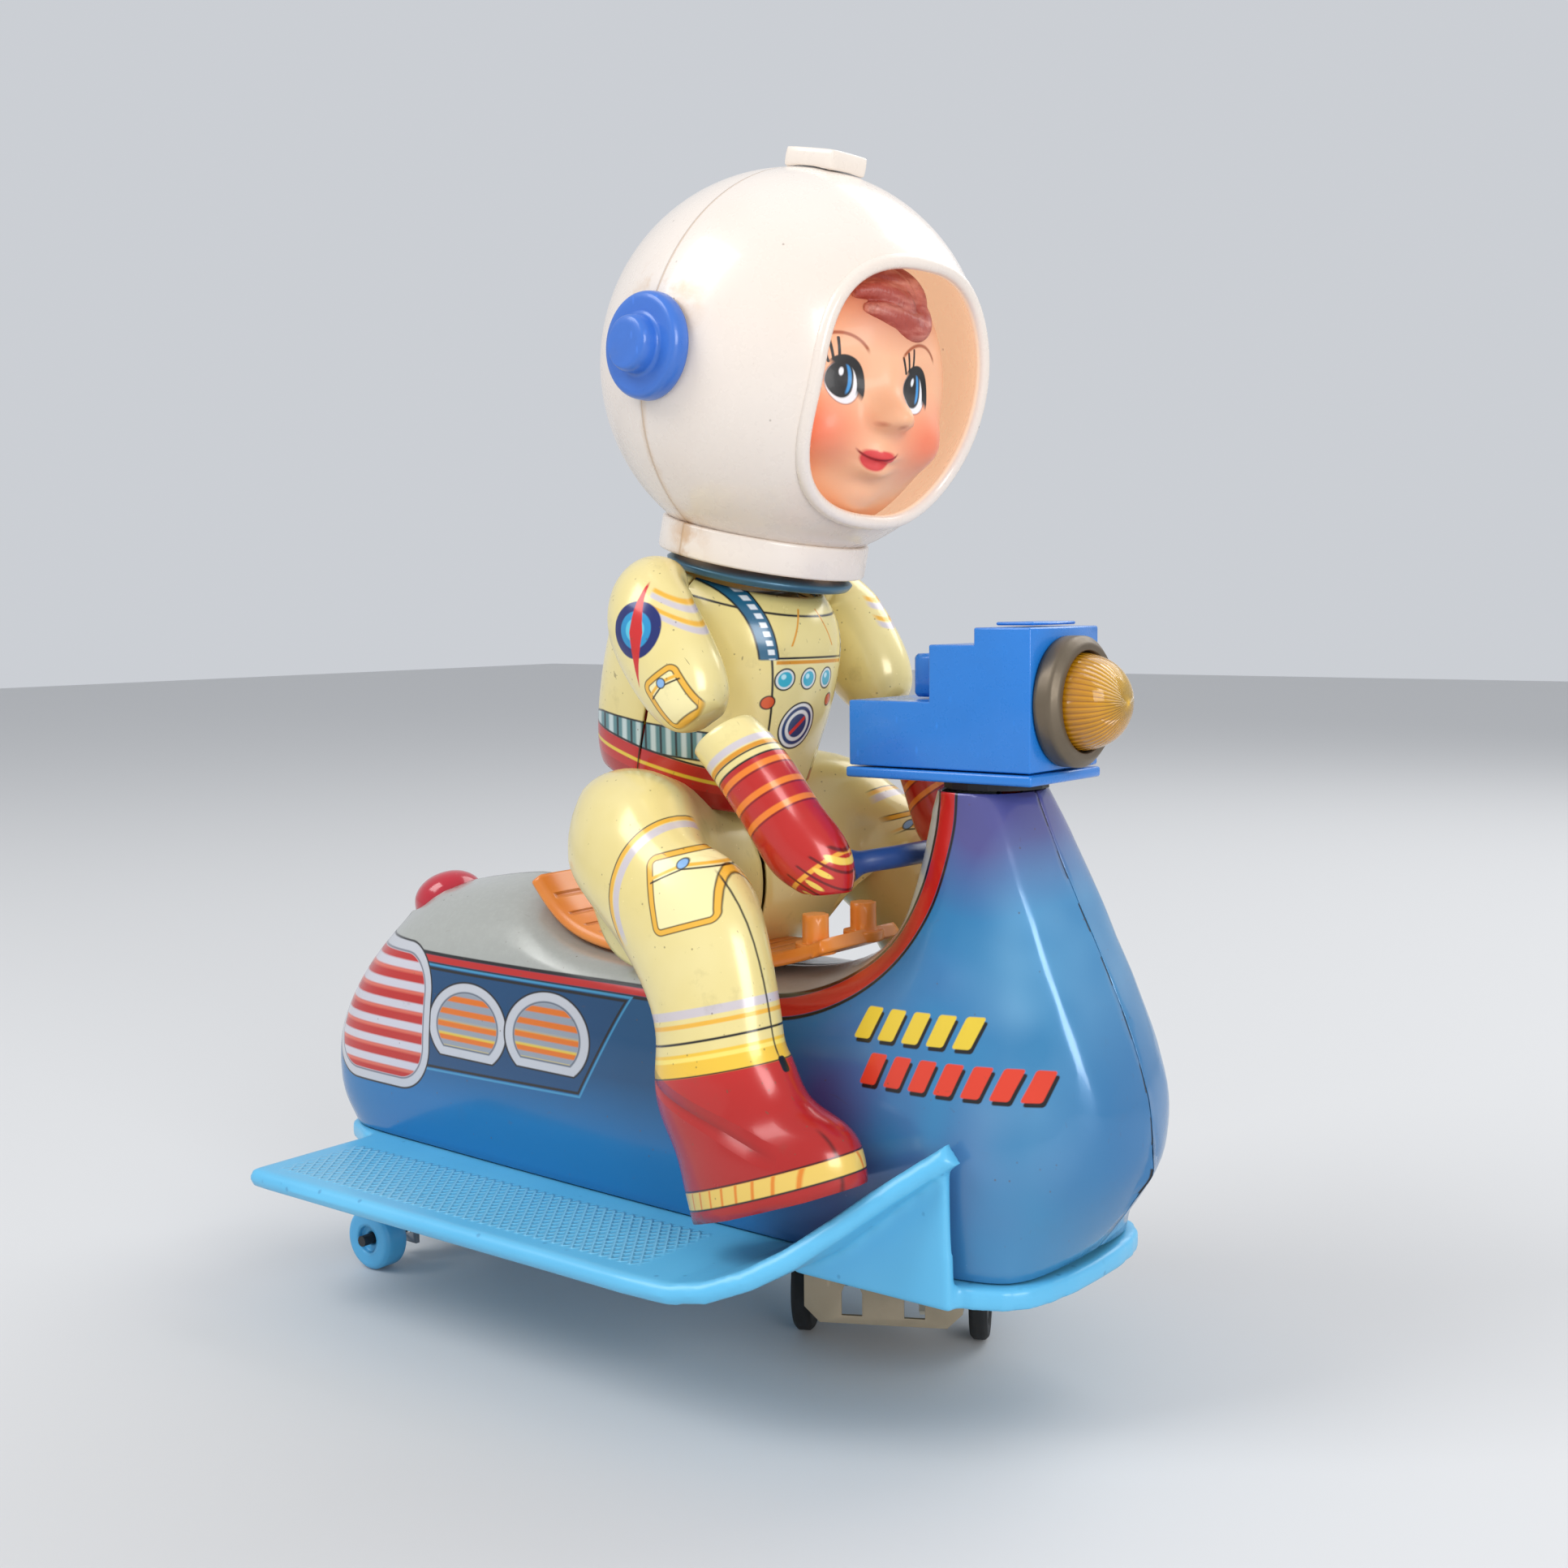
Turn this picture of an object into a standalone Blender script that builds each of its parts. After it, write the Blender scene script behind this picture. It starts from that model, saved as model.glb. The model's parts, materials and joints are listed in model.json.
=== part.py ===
"""Tin rider on a battery-driven space scooter: the working model, one object for each piece.

Frame: metres, +Z up, +X forwards, +Y to the rider's left.  The origin is on the floor, under the
middle of the toy.  Sizes below are in millimetres and are scaled by MM when a mesh is made.
"""
import math

import bmesh
import bpy
from mathutils import Matrix, Vector

MM = 0.001
GAP = 0.3            # clearance between neighbouring solids
TIN = 0.7            # wall of the stamped tin pieces
PLASTIC = 1.4        # wall of the moulded plastic pieces

# Base moulding and footboards
JOINT_Z = 29.4       # height at which the tin body meets the base
DECK_TOP = JOINT_Z - GAP
DECK_BOTTOM = 25.1
BOARD_THICK = 3.8
GUSSET_IN = 26.8
GUSSET_OUT = 28.8

# Rolling gear
REAR_AXLE = (-73.6, 6.9)
REAR_WHEEL_R = 6.9
REAR_WHEEL_W = 6.0
REAR_TRACK = 27.0    # outer face of a rear wheel's tread, from the middle plane
PIVOT_X = 45.9       # vertical axis on which the drive unit swivels
UNIT_TURN = math.radians(28.0)
DRIVE_R = 10.3
DRIVE_W = 3.6
DRIVE_HALF_TRACK = 17.4
AXLE_N = 13.5        # drive axle's distance from the swivel axis
LAY_N = 6.5
GEAR_MODULE = 0.7
DRIVE_TEETH = 16
PINION_TEETH = 8
GEAR_CENTRES = GEAR_MODULE * (DRIVE_TEETH + PINION_TEETH) / 2 + 0.15
LAY_Z = DRIVE_R + math.sqrt(GEAR_CENTRES ** 2 - (AXLE_N - LAY_N) ** 2)
WORM_WHEEL_TEETH = 12
WORM_CORE_R = 1.65
WORM_OUTER_R = 2.4

# Power
SWITCH_X = 83.0
HATCH = (-69.0, 22.0)
CELL_R = 13.1
CELL_LENGTH = 50.0
CELL_Z = 45.0
CELL_REAR_X = -82.0
MOTOR_R = 11.5
MOTOR_BOTTOM = 36.0
MOTOR_LENGTH = 26.0

# Console and head lamp
CONSOLE = (46.6, 84.5)
CONSOLE_HALF = 11.8
CONSOLE_Z = (113.6, 127.6, 137.7, 140.7)
CONSOLE_STEPS = (63.9, 73.2)
LAMP_Z = 127.7
LAMP_R = 11.6

REAR_LAMP = (-74.5, 0, 80.3)
REAR_LAMP_AXIS = (-0.42, 0, 0.91)

# Rider
HELMET_CENTRE = Vector((25.4, 0.0, 189.7))
HELMET_R = 36.4
HELMET_WALL = 1.5
CAP = (6.2, 5.0, 3.4)     # half length, half width and height above the crown
HEAD_TILT = math.radians(12.5)
HEAD_TURN = math.radians(-6.0)
LEG_Y = 37.4
ARM_Y = 29.6
SHOULDER = (12.0, 146.5)

PARTS = "space_scooter_rider"
CUTTERS = "cutters"


# ---------------------------------------------------------------- scene and small helpers

def clear_scene():
    for item in list(bpy.data.objects):
        bpy.data.objects.remove(item, do_unlink=True)
    for name in (PARTS, CUTTERS):
        if name not in bpy.data.collections:
            bpy.context.scene.collection.children.link(bpy.data.collections.new(name))


def finish(name, colour, roughness, metallic=0.0):
    mat = bpy.data.materials.new(name)
    mat.use_nodes = True
    shader = mat.node_tree.nodes["Principled BSDF"]
    shader.inputs["Base Color"].default_value = (*colour, 1.0)
    shader.inputs["Roughness"].default_value = roughness
    shader.inputs["Metallic"].default_value = metallic
    return mat


FINISHES = {}


def make_finishes():
    table = {
        "blue_tin": ((0.03, 0.24, 0.48), 0.25, 0.3),
        "base_plastic": ((0.18, 0.55, 0.78), 0.35, 0.0),
        "console_plastic": ((0.02, 0.28, 0.75), 0.3, 0.0),
        "dark_blue_plastic": ((0.03, 0.09, 0.3), 0.3, 0.0),
        "orange_plastic": ((0.9, 0.33, 0.04), 0.35, 0.0),
        "amber_lens": ((0.9, 0.5, 0.03), 0.15, 0.0),
        "red_lens": ((0.75, 0.03, 0.08), 0.15, 0.0),
        "lamp_trim": ((0.35, 0.3, 0.25), 0.4, 0.4),
        "suit_tin": ((0.83, 0.76, 0.4), 0.3, 0.1),
        "collar_tin": ((0.25, 0.45, 0.6), 0.3, 0.3),
        "helmet_plastic": ((0.9, 0.86, 0.8), 0.3, 0.0),
        "ear_plastic": ((0.06, 0.2, 0.7), 0.35, 0.0),
        "head_vinyl": ((0.85, 0.45, 0.3), 0.5, 0.0),
        "rubber": ((0.02, 0.02, 0.02), 0.8, 0.0),
        "plated_steel": ((0.5, 0.5, 0.5), 0.35, 0.9),
        "casing_tin": ((0.45, 0.36, 0.26), 0.45, 0.4),
        "brass": ((0.65, 0.48, 0.2), 0.35, 0.9),
        "gear_plastic": ((0.75, 0.72, 0.62), 0.5, 0.0),
        "cell_jacket": ((0.12, 0.12, 0.13), 0.4, 0.1),
        "bulb_glass": ((0.9, 0.9, 0.85), 0.1, 0.0),
        "black_plastic": ((0.03, 0.03, 0.03), 0.5, 0.0),
    }
    for name, (colour, roughness, metallic) in table.items():
        FINISHES[name] = finish(name, colour, roughness, metallic)


def add(name, mesh, slot=None, matrix=None):
    """Put a mesh in the parts collection, or with the cutters when it has no finish."""
    obj = bpy.data.objects.new(name, mesh)
    if slot is None:
        bpy.data.collections[CUTTERS].objects.link(obj)
        obj.hide_render = True
        obj.display_type = 'WIRE'
    else:
        bpy.data.collections[PARTS].objects.link(obj)
        mesh.materials.append(FINISHES[slot])
    if matrix is not None:
        obj.matrix_world = matrix
    return obj


def mesh_of(name, verts, faces):
    mesh = bpy.data.meshes.new(name)
    mesh.from_pydata([tuple(c * MM for c in v) for v in verts], [], faces)
    bm = bmesh.new()
    bm.from_mesh(mesh)
    bmesh.ops.remove_doubles(bm, verts=bm.verts, dist=0.00001)
    bmesh.ops.dissolve_degenerate(bm, edges=bm.edges, dist=0.00001)
    bmesh.ops.recalc_face_normals(bm, faces=bm.faces)
    bm.to_mesh(mesh)
    bm.free()
    return mesh


def turned_frame(place, axis):
    """Matrix (metres) that takes local +Z onto axis, at a place given in millimetres."""
    turn = Vector((0, 0, 1)).rotation_difference(Vector(axis)).to_matrix().to_4x4()
    return Matrix.Translation(Vector(place) * MM) @ turn


def box(name, low, high, slot=None, bevel=0.0, matrix=None):
    bm = bmesh.new()
    size = [(h - l) * MM for l, h in zip(low, high)]
    middle = [(h + l) * MM / 2 for l, h in zip(low, high)]
    place = Matrix.Translation(middle) @ Matrix.Diagonal((*size, 1.0))
    bmesh.ops.create_cube(bm, size=1.0, matrix=place)
    mesh = bpy.data.meshes.new(name)
    bm.to_mesh(mesh)
    bm.free()
    obj = add(name, mesh, slot, matrix)
    if bevel:
        soften(obj, bevel)
    return obj


def cylinder(name, start, axis, radius, length, slot=None, steps=24, end_radius=None):
    bm = bmesh.new()
    tip = radius if end_radius is None else end_radius
    shift = Matrix.Translation((0, 0, length * MM / 2))
    bmesh.ops.create_cone(bm, cap_ends=True, segments=steps, radius1=radius * MM,
                          radius2=tip * MM, depth=length * MM, matrix=shift)
    mesh = bpy.data.meshes.new(name)
    bm.to_mesh(mesh)
    bm.free()
    return add(name, mesh, slot, turned_frame(start, axis))


def turned(name, profile, place, axis, slot=None, steps=24):
    """A profile of (radius, height) pairs, outer side top to bottom, spun by a Screw modifier."""
    mesh = bpy.data.meshes.new(name)
    points = [(r * MM, 0.0, z * MM) for r, z in profile]
    edges = [(i, i + 1) for i in range(len(points) - 1)]
    if profile[0][0] > 0 or profile[-1][0] > 0:
        edges.append((len(points) - 1, 0))
    mesh.from_pydata(points, edges, [])
    obj = add(name, mesh, slot, turned_frame(place, axis))
    screw = obj.modifiers.new("turn", 'SCREW')
    screw.axis = 'Z'
    screw.steps = steps
    screw.render_steps = steps
    screw.use_merge_vertices = True
    screw.merge_threshold = 0.00002
    return obj


def soften(obj, width, segments=2, angle=35.0):
    mod = obj.modifiers.new("edges", 'BEVEL')
    mod.width = width * MM
    mod.segments = segments
    mod.limit_method = 'ANGLE'
    mod.angle_limit = math.radians(angle)
    return mod


def thicken(obj, wall):
    mod = obj.modifiers.new("wall", 'SOLIDIFY')
    mod.thickness = wall * MM
    mod.offset = -1.0
    mod.use_even_offset = True
    return mod


def cut(obj, cutter, operation='DIFFERENCE'):
    mod = obj.modifiers.new(cutter.name, 'BOOLEAN')
    mod.operation = operation
    mod.solver = 'EXACT'
    mod.object = cutter
    return obj


def join(obj, other):
    return cut(obj, other, 'UNION')


def slab(name, outline, low, high, axis, slot=None, matrix=None):
    """Extrude a flat outline along 'Y' (outline in X, Z) or 'Z' (outline in X, Y)."""
    def lift(point, level):
        a, b = point
        return (a, level, b) if axis == 'Y' else (a, b, level)
    count = len(outline)
    verts = [lift(p, low) for p in outline] + [lift(p, high) for p in outline]
    faces = [tuple(range(count)), tuple(reversed(range(count, 2 * count)))]
    faces += [(i, (i + 1) % count, count + (i + 1) % count, count + i) for i in range(count)]
    return add(name, mesh_of(name, verts, faces), slot, matrix)


def grid_mesh(name, rows, closed=False, cap_start=False, cap_end=False):
    """Skin rows of points; closed rows are rings, and either end ring may be filled."""
    width = len(rows[0])
    verts = [point for row in rows for point in row]
    faces = []
    for i in range(len(rows) - 1):
        for j in range(width if closed else width - 1):
            k = (j + 1) % width
            faces.append((i * width + j, i * width + k, (i + 1) * width + k, (i + 1) * width + j))
    if cap_start:
        faces.append(tuple(reversed(range(width))))
    if cap_end:
        faces.append(tuple(range((len(rows) - 1) * width, len(rows) * width)))
    return mesh_of(name, verts, faces)


def spline(points, count):
    """A smooth curve through the points, read at evenly spaced places along its parameter."""
    pts = [Vector(p) for p in points]
    pts = [2 * pts[0] - pts[1]] + pts + [2 * pts[-1] - pts[-2]]
    spans = len(points) - 1
    out = []
    for i in range(count):
        t = spans * i / (count - 1)
        k = min(int(t), spans - 1)
        t -= k
        a, b, c, d = pts[k:k + 4]
        out.append(0.5 * (2 * b + (c - a) * t + (2 * a - 5 * b + 4 * c - d) * t * t
                          + (3 * b - a - 3 * c + d) * t ** 3))
    return out


def ring(centre, normal, along, across, steps, start=0.0, sweep=2 * math.pi, power=2.0):
    """An oval of points square to a normal; 'along' is its half-size nearest the X axis."""
    n = Vector(normal).normalized()
    e1 = Vector((1, 0, 0))
    e1 = (e1 - n * e1.dot(n)).normalized()
    e2 = n.cross(e1)
    whole = abs(sweep - 2 * math.pi) < 1e-6
    points = []
    for i in range(steps):
        t = start + sweep * i / (steps if whole else steps - 1)
        c = math.copysign(abs(math.cos(t)) ** (2 / power), math.cos(t))
        s = math.copysign(abs(math.sin(t)) ** (2 / power), math.sin(t))
        points.append(Vector(centre) + e1 * along * c + e2 * across * s)
    return points


def limb(name, sections, slot, steps=16, rows=None, side=1.0, wall=TIN):
    """A tin limb: ovals (centre, normal, along, across) skinned, open at its first end."""
    centres = spline([s[0] for s in sections], rows)
    normals = spline([s[1] for s in sections], rows)
    sizes = spline([(s[2], s[3], 0) for s in sections], rows)
    rings = [ring(c, n, z[0], z[1], steps) for c, n, z in zip(centres, normals, sizes)]
    rings = [[(p.x, p.y * side, p.z) for p in one] for one in rings]
    obj = add(name, grid_mesh(name, rings, closed=True, cap_end=True), slot)
    thicken(obj, wall)
    return obj


# ---------------------------------------------------------------- tin body

# Ribs of one body half, from the tail to the neck.  Each runs from the top seam over the crown,
# shoulder and side to the base joint or, in front, to the nose seam.
BODY_RIBS = (
    ((-93, 0, 30.4), (-93, 2, 30.3), (-92.9, 4, 30), (-92.7, 6, 29.7), (-92.4, 8, 29.4)),
    ((-99.5, 0, 35.5), (-98.8, 5, 34.8), (-97, 9.5, 33.5), (-94, 12.5, 31.5), (-90.5, 14, 29.4)),
    ((-103.1, 0, 43), (-102, 7, 42.5), (-96, 14.3, 41), (-92, 17.8, 36), (-86.5, 18.3, 29.4)),
    ((-101.8, 0, 51), (-100.4, 8, 50.5), (-93, 17.3, 48), (-87, 20.5, 39), (-80, 20.2, 29.4)),
    ((-96.5, 0, 60), (-95, 8.5, 59), (-87, 18.8, 55.5), (-79.5, 21.8, 43), (-72, 20.8, 29.4)),
    ((-89, 0, 69), (-87.5, 9, 67.5), (-81, 19.5, 62), (-71, 22.2, 46), (-63, 21.3, 29.4)),
    ((-80, 0, 77.3), (-79, 9, 75.5), (-73, 19.5, 67.5), (-62, 22.6, 48), (-54, 21.8, 29.4)),
    ((-69, 0, 83.4), (-68, 10, 80.5), (-63, 19.5, 70.5), (-54, 23, 49), (-45, 22.3, 29.4)),
    ((-57, 0, 86), (-56.5, 11, 82.5), (-54, 20, 72), (-45, 23.3, 50), (-36, 22.8, 29.4)),
    ((-46, 0, 87.6), (-46, 11.5, 83.5), (-44, 20.3, 72.5), (-36, 23.6, 50), (-27, 23.2, 29.4)),
    ((-37.5, 0, 88.2), (-37, 11.5, 83.4), (-34, 20.5, 72.5), (-27, 23.8, 50), (-19, 23.6, 29.4)),
    ((-29, 0, 80.5), (-28, 12, 78.3), (-25, 20.8, 72), (-18, 24, 50), (-10, 24, 29.4)),
    ((-20, 0, 75), (-19, 12.5, 74.6), (-15, 21, 71), (-8, 24.2, 50), (0, 24.4, 29.4)),
    ((0, 0, 74.2), (1, 13, 73.8), (5, 21.4, 70.3), (10, 24.6, 50), (18, 25, 29.4)),
    ((20, 0, 74.2), (21, 13, 73.8), (25, 21.8, 70), (29, 25.2, 50), (36, 25.4, 29.4)),
    ((36, 0, 75.5), (37.5, 13, 74), (42, 22, 69), (46, 25.8, 50), (52, 25.8, 29.4)),
    ((47, 0, 80), (49, 13, 77.5), (54, 21.5, 70.5), (58, 26, 50), (64, 25.8, 29.4)),
    ((54, 0, 87), (57, 12.5, 84), (64, 20.5, 74), (70, 26, 51), (76, 24.5, 29.4)),
    ((56.5, 0, 94), (60, 12, 91), (71, 18.8, 79), (81, 24.2, 53), (85.6, 22.6, 29.4)),
    ((58.5, 0, 101), (62, 11.2, 98.5), (74, 16.6, 84), (90.5, 21, 52), (89.4, 16, 29.4)),
    ((59, 0, 103.8), (62.6, 11, 101.8), (75, 15.8, 88.5), (96.5, 17, 50), (91.6, 0, 31)),
    ((59.4, 0, 105.8), (63.1, 10.8, 104.3), (76, 14.9, 93), (98.6, 14.5, 57), (103.1, 0, 46)),
    ((59.6, 0, 107.5), (63.6, 10.7, 106.4), (76.6, 14, 96.5), (96.6, 13.6, 68), (101.9, 0, 59.5)),
    ((59.8, 0, 109.1), (64, 10.6, 108.4), (77, 12.9, 100.5), (90.6, 12.6, 81), (96.8, 0, 74)),
    ((60, 0, 110.4), (64.5, 10.5, 110), (76.6, 12, 104.7), (85.4, 11, 93.5), (89.8, 0, 88)),
    ((60.1, 0, 111.2), (64.7, 10.5, 111), (75.4, 11.4, 108.4), (81.4, 8.6, 103), (84, 0, 99.5)),
    ((60.1, 0, 111.8), (64.8, 10.4, 111.8), (73, 11, 111.8), (77.4, 7, 111.8), (78.9, 0, 111.8)),
)
RIB_POINTS = 11
RIB_STEPS = 1        # rows skinned for each rib


def body_half(name, side):
    """One stamped half of the body; the halves meet along the middle plane."""
    rows = (len(BODY_RIBS) - 1) * RIB_STEPS + 1
    strands = [spline([rib[k] for rib in BODY_RIBS], rows) for k in range(len(BODY_RIBS[0]))]
    skin = []
    for i in range(rows):
        rib = spline([strand[i] for strand in strands], RIB_POINTS)
        skin.append([(p.x, side * max(p.y, GAP / 2), max(p.z, JOINT_Z)) for p in rib])
    obj = add(name, grid_mesh(name, skin), "blue_tin")
    thicken(obj, TIN)
    low, high = sorted((side * GAP / 2, -side * 20))
    cut(obj, box(name + "_seam_room", (-120, low, 0), (120, high, 130)))
    start = Vector(REAR_LAMP) - 8 * Vector(REAR_LAMP_AXIS)
    return cut(obj, cylinder(name + "_lamp_hole", start, REAR_LAMP_AXIS, 8.6, 16))


def neck_washer():
    return turned("neck_washer", [(0, 113.3), (9.5, 113.3), (9.5, 112.1), (0, 112.1)],
                  (70.6, 0, 0), (0, 0, 1), "black_plastic", 16)


# ---------------------------------------------------------------- base and footboards

DECK_OUTLINE = ((-95, 0), (-94, 9), (-89.5, 17), (-80, 21.8), (-54, 23.3), (0, 25.9), (36, 26.9),
                (64, 27.3), (76, 26.8), (82, 25.7), (86.6, 23.2), (89.6, 19.4), (91, 14.6), (91.9, 7.5), (92.2, 0))
# Footboard stations: distance forward, top height, inner edge, outer edge
BOARD_STATIONS = (
    (-77, 29, 17, 54.1), (-72, 29, 17.5, 54.5), (-40, 29, 18, 54.7), (10, 29, 20, 55), (28, 29, 21, 55.3),
    (38, 29, 26.6, 54.6), (44, 29.9, 26.6, 52.5), (50, 32.3, 26.6, 49.4), (56, 36, 26.8, 45.4),
    (62, 41, 26.8, 40.8), (68, 46.2, 26.8, 36), (73.5, 50.6, 26.6, 31.8), (78, 54, 26.4, 28.8),
)


def footboard(name, side):
    """A flat tread that curls up in front, skinned from station to station."""
    rings = []
    last = len(BOARD_STATIONS) - 1
    for i, (x, z, inner, outer) in enumerate(BOARD_STATIONS):
        before = BOARD_STATIONS[max(i - 1, 0)]
        after = BOARD_STATIONS[min(i + 1, last)]
        slope = Vector((after[0] - before[0], 0, after[1] - before[1])).normalized()
        down = Vector((slope.z, 0, -slope.x)) * BOARD_THICK
        top_in, top_out = Vector((x, inner, z)), Vector((x, outer, z))
        nose = Vector((x, outer + 1.0, z)) + down / 2
        rings.append([top_in, top_out, nose, top_out + down, top_in + down])
    rings = [[(p.x, p.y * side, p.z) for p in one] for one in rings]
    mesh = grid_mesh(name, rings, closed=True, cap_start=True, cap_end=True)
    return add(name, mesh)


def gusset(name, side):
    """The upright web under a footboard's curl."""
    top = [(s[0], s[1] - BOARD_THICK / 2) for s in BOARD_STATIONS[6:]]
    outline = top + [(79.2, DECK_BOTTOM), (46, DECK_BOTTOM)]
    low, high = sorted((side * GUSSET_IN, side * GUSSET_OUT))
    return slab(name, outline, low, high, 'Y')


def base():
    mirrored = [(x, -y) for x, y in reversed(DECK_OUTLINE[1:-1])]
    obj = slab("base", list(DECK_OUTLINE) + mirrored, DECK_BOTTOM, DECK_TOP, 'Z', "base_plastic")
    for side, label in ((-1, "right"), (1, "left")):
        join(obj, footboard("board_" + label, side))
        join(obj, gusset("web_" + label, side))
    cut(obj, cylinder("pivot_hole", (PIVOT_X, 0, 20), (0, 0, 1), 4.3, 20, steps=20))
    cut(obj, box("hatch_hole", (HATCH[0] + 3, -13, 15), (HATCH[1] - 3, 13, 40)))
    cut(obj, box("switch_slot", (SWITCH_X - 3.5, -1.6, 15), (SWITCH_X + 3.5, 1.6, 40)))
    return obj


def battery_hatch():
    """Plain tin cover that slides rearwards along the underside of the base."""
    return box("battery_hatch", (HATCH[0], -14.2, 22.3), (HATCH[1], 14.2, 23.4), "base_plastic")


def hatch_guides():
    """Two angle strips under the base that the hatch slides in."""
    profile = ((14.6, 24.8), (16.7, 24.8), (16.7, 21), (12.6, 21), (12.6, 22), (14.6, 22))
    for side, label in ((-1, "right"), (1, "left")):
        verts = []
        for x in (HATCH[0] + 1, HATCH[1] - 1):
            verts += [(x, y * side, z) for y, z in profile]
        n = len(profile)
        faces = [tuple(range(n)), tuple(range(n, 2 * n))]
        faces += [(i, (i + 1) % n, n + (i + 1) % n, n + i) for i in range(n)]
        name = "hatch_guide_" + label
        add(name, mesh_of(name, verts, faces), "plated_steel")


def power_switch():
    box("switch_knob", (SWITCH_X - 3.1, -1.2, 22.2), (SWITCH_X - 0.1, 1.2, 30), "black_plastic")
    return box("switch_plate", (SWITCH_X - 6, -6, 30.4), (SWITCH_X + 6, 6, 31.4), "plated_steel")


# ---------------------------------------------------------------- rear axle

def rear_axle():
    x, z = REAR_AXLE
    half = REAR_TRACK + 1.6
    cylinder("rear_axle", (x, -half, z), (0, 1, 0), 1.2, 2 * half, "plated_steel", 12)
    hub = [(3.0, 0.0), (REAR_WHEEL_R - 0.8, 0.0), (REAR_WHEEL_R, -0.8),
           (REAR_WHEEL_R, 0.8 - REAR_WHEEL_W), (REAR_WHEEL_R - 0.8, -REAR_WHEEL_W),
           (1.5, -REAR_WHEEL_W), (1.5, -1.2), (3.0, -1.2)]
    for side, label in ((-1, "right"), (1, "left")):
        turned("rear_wheel_" + label, hub, (x, side * REAR_TRACK, z), (0, side, 0),
               "base_plastic", 20)


def rear_bracket():
    """A bent tin strap that carries the rear axle under the base."""
    x, z = REAR_AXLE
    outline = ((-16, 24.8), (16, 24.8), (16, 3.6), (15, 3.6), (15, 23.8), (-15, 23.8),
               (-15, 3.6), (-16, 3.6))
    verts = []
    for level in (x - 3.4, x + 3.4):
        verts += [(level, y, h) for y, h in outline]
    n = len(outline)
    faces = [tuple(range(n)), tuple(range(n, 2 * n))]
    faces += [(i, (i + 1) % n, n + (i + 1) % n, n + i) for i in range(n)]
    obj = add("rear_bracket", mesh_of("rear_bracket", verts, faces), "plated_steel")
    cut(obj, cylinder("axle_hole", (x, -20, z), (0, 1, 0), 1.6, 40, steps=12))
    return obj


# ---------------------------------------------------------------- drive unit

def unit_matrix():
    return Matrix.Translation((PIVOT_X * MM, 0, 0)) @ Matrix.Rotation(UNIT_TURN, 4, 'Z')


def unit_point(u, n, z):
    """World place, in millimetres, of a point in the drive unit's own frame."""
    spot = Matrix.Rotation(UNIT_TURN, 3, 'Z') @ Vector((u, n, z))
    return spot + Vector((PIVOT_X, 0, 0))


def unit_axis():
    return Matrix.Rotation(UNIT_TURN, 3, 'Z') @ Vector((1, 0, 0))


def gear_outline(teeth, phase):
    """Plain trapezoid teeth with backlash, as (across, up) pairs round the gear's axis."""
    pitch_r = teeth * GEAR_MODULE / 2
    root, tip = pitch_r - 0.62, pitch_r + 0.42
    points = []
    for i in range(teeth):
        middle = phase + 2 * math.pi * i / teeth
        for radius, half in ((root, 0.46), (tip, 0.2), (tip, -0.2), (root, -0.46)):
            angle = middle - half / radius
            points.append((radius * math.cos(angle), radius * math.sin(angle)))
    return points


def gear(name, teeth, phase, n, z, low, high, slot=None):
    outline = gear_outline(teeth, phase)
    verts = []
    for level in (low, high):
        verts += [tuple(unit_point(level, n + a, z + b)) for a, b in outline]
    count = len(outline)
    faces = [tuple(range(count)), tuple(range(count, 2 * count))]
    faces += [(i, (i + 1) % count, count + (i + 1) % count, count + i) for i in range(count)]
    return add(name, mesh_of(name, verts, faces), slot)


def drive_casing():
    """The folded tin box that carries the drive wheels."""
    outer = ((-15.2, 20.6), (15.2, 20.6), (15.2, 11), (12.2, 8), (-12.2, 8), (-15.2, 11))
    inner = ((-14.4, 19.9), (14.4, 19.9), (14.4, 11.4), (11.8, 8.8), (11.8, 5), (-11.8, 5),
             (-11.8, 8.8), (-14.4, 11.4))
    obj = slab("drive_casing", outer, -4, 23, 'Y', "casing_tin", unit_matrix())
    cut(obj, slab("casing_room", inner, -3.2, 22.2, 'Y', None, unit_matrix()))
    for u in (-6, 6):
        arch = [(u - 2, 9.6), (u + 2, 9.6), (u + 2, 14)]
        arch += [(u + 2 * math.cos(t), 14 + 2 * math.sin(t)) for t in (0.785, 1.571, 2.356)]
        arch.append((u - 2, 14))
        cut(obj, slab("casing_arch", arch, -6, -2, 'Y', None, unit_matrix()))
    start = unit_point(-20, AXLE_N, DRIVE_R)
    cut(obj, cylinder("axle_bore", start, unit_axis(), 1.6, 40, steps=12))
    start = unit_point(-20, LAY_N, LAY_Z)
    cut(obj, cylinder("lay_bore", start, unit_axis(), 1.35, 40, steps=12))
    cut(obj, cylinder("shaft_bore", (PIVOT_X, 0, 18), (0, 0, 1), 3.0, 10, steps=16))
    return obj


def turntable():
    """The round plate and hollow post on which the drive unit swivels."""
    profile = [(3.9, 32.2), (3.9, 24.7), (18, 24.7), (18, 22.9), (8, 22.9), (8, 20.9),
               (1.6, 20.9), (1.6, 32.2)]
    return turned("turntable", profile, (PIVOT_X, 0, 0), (0, 0, 1), "plated_steel", 20)


def keeper_ring():
    """Ring above the base that stops the turntable's post from dropping out."""
    profile = [(6.5, 33.8), (6.5, 32.6), (1.6, 32.6), (1.6, 33.8)]
    return turned("keeper_ring", profile, (PIVOT_X, 0, 0), (0, 0, 1), "plated_steel", 20)


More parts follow.
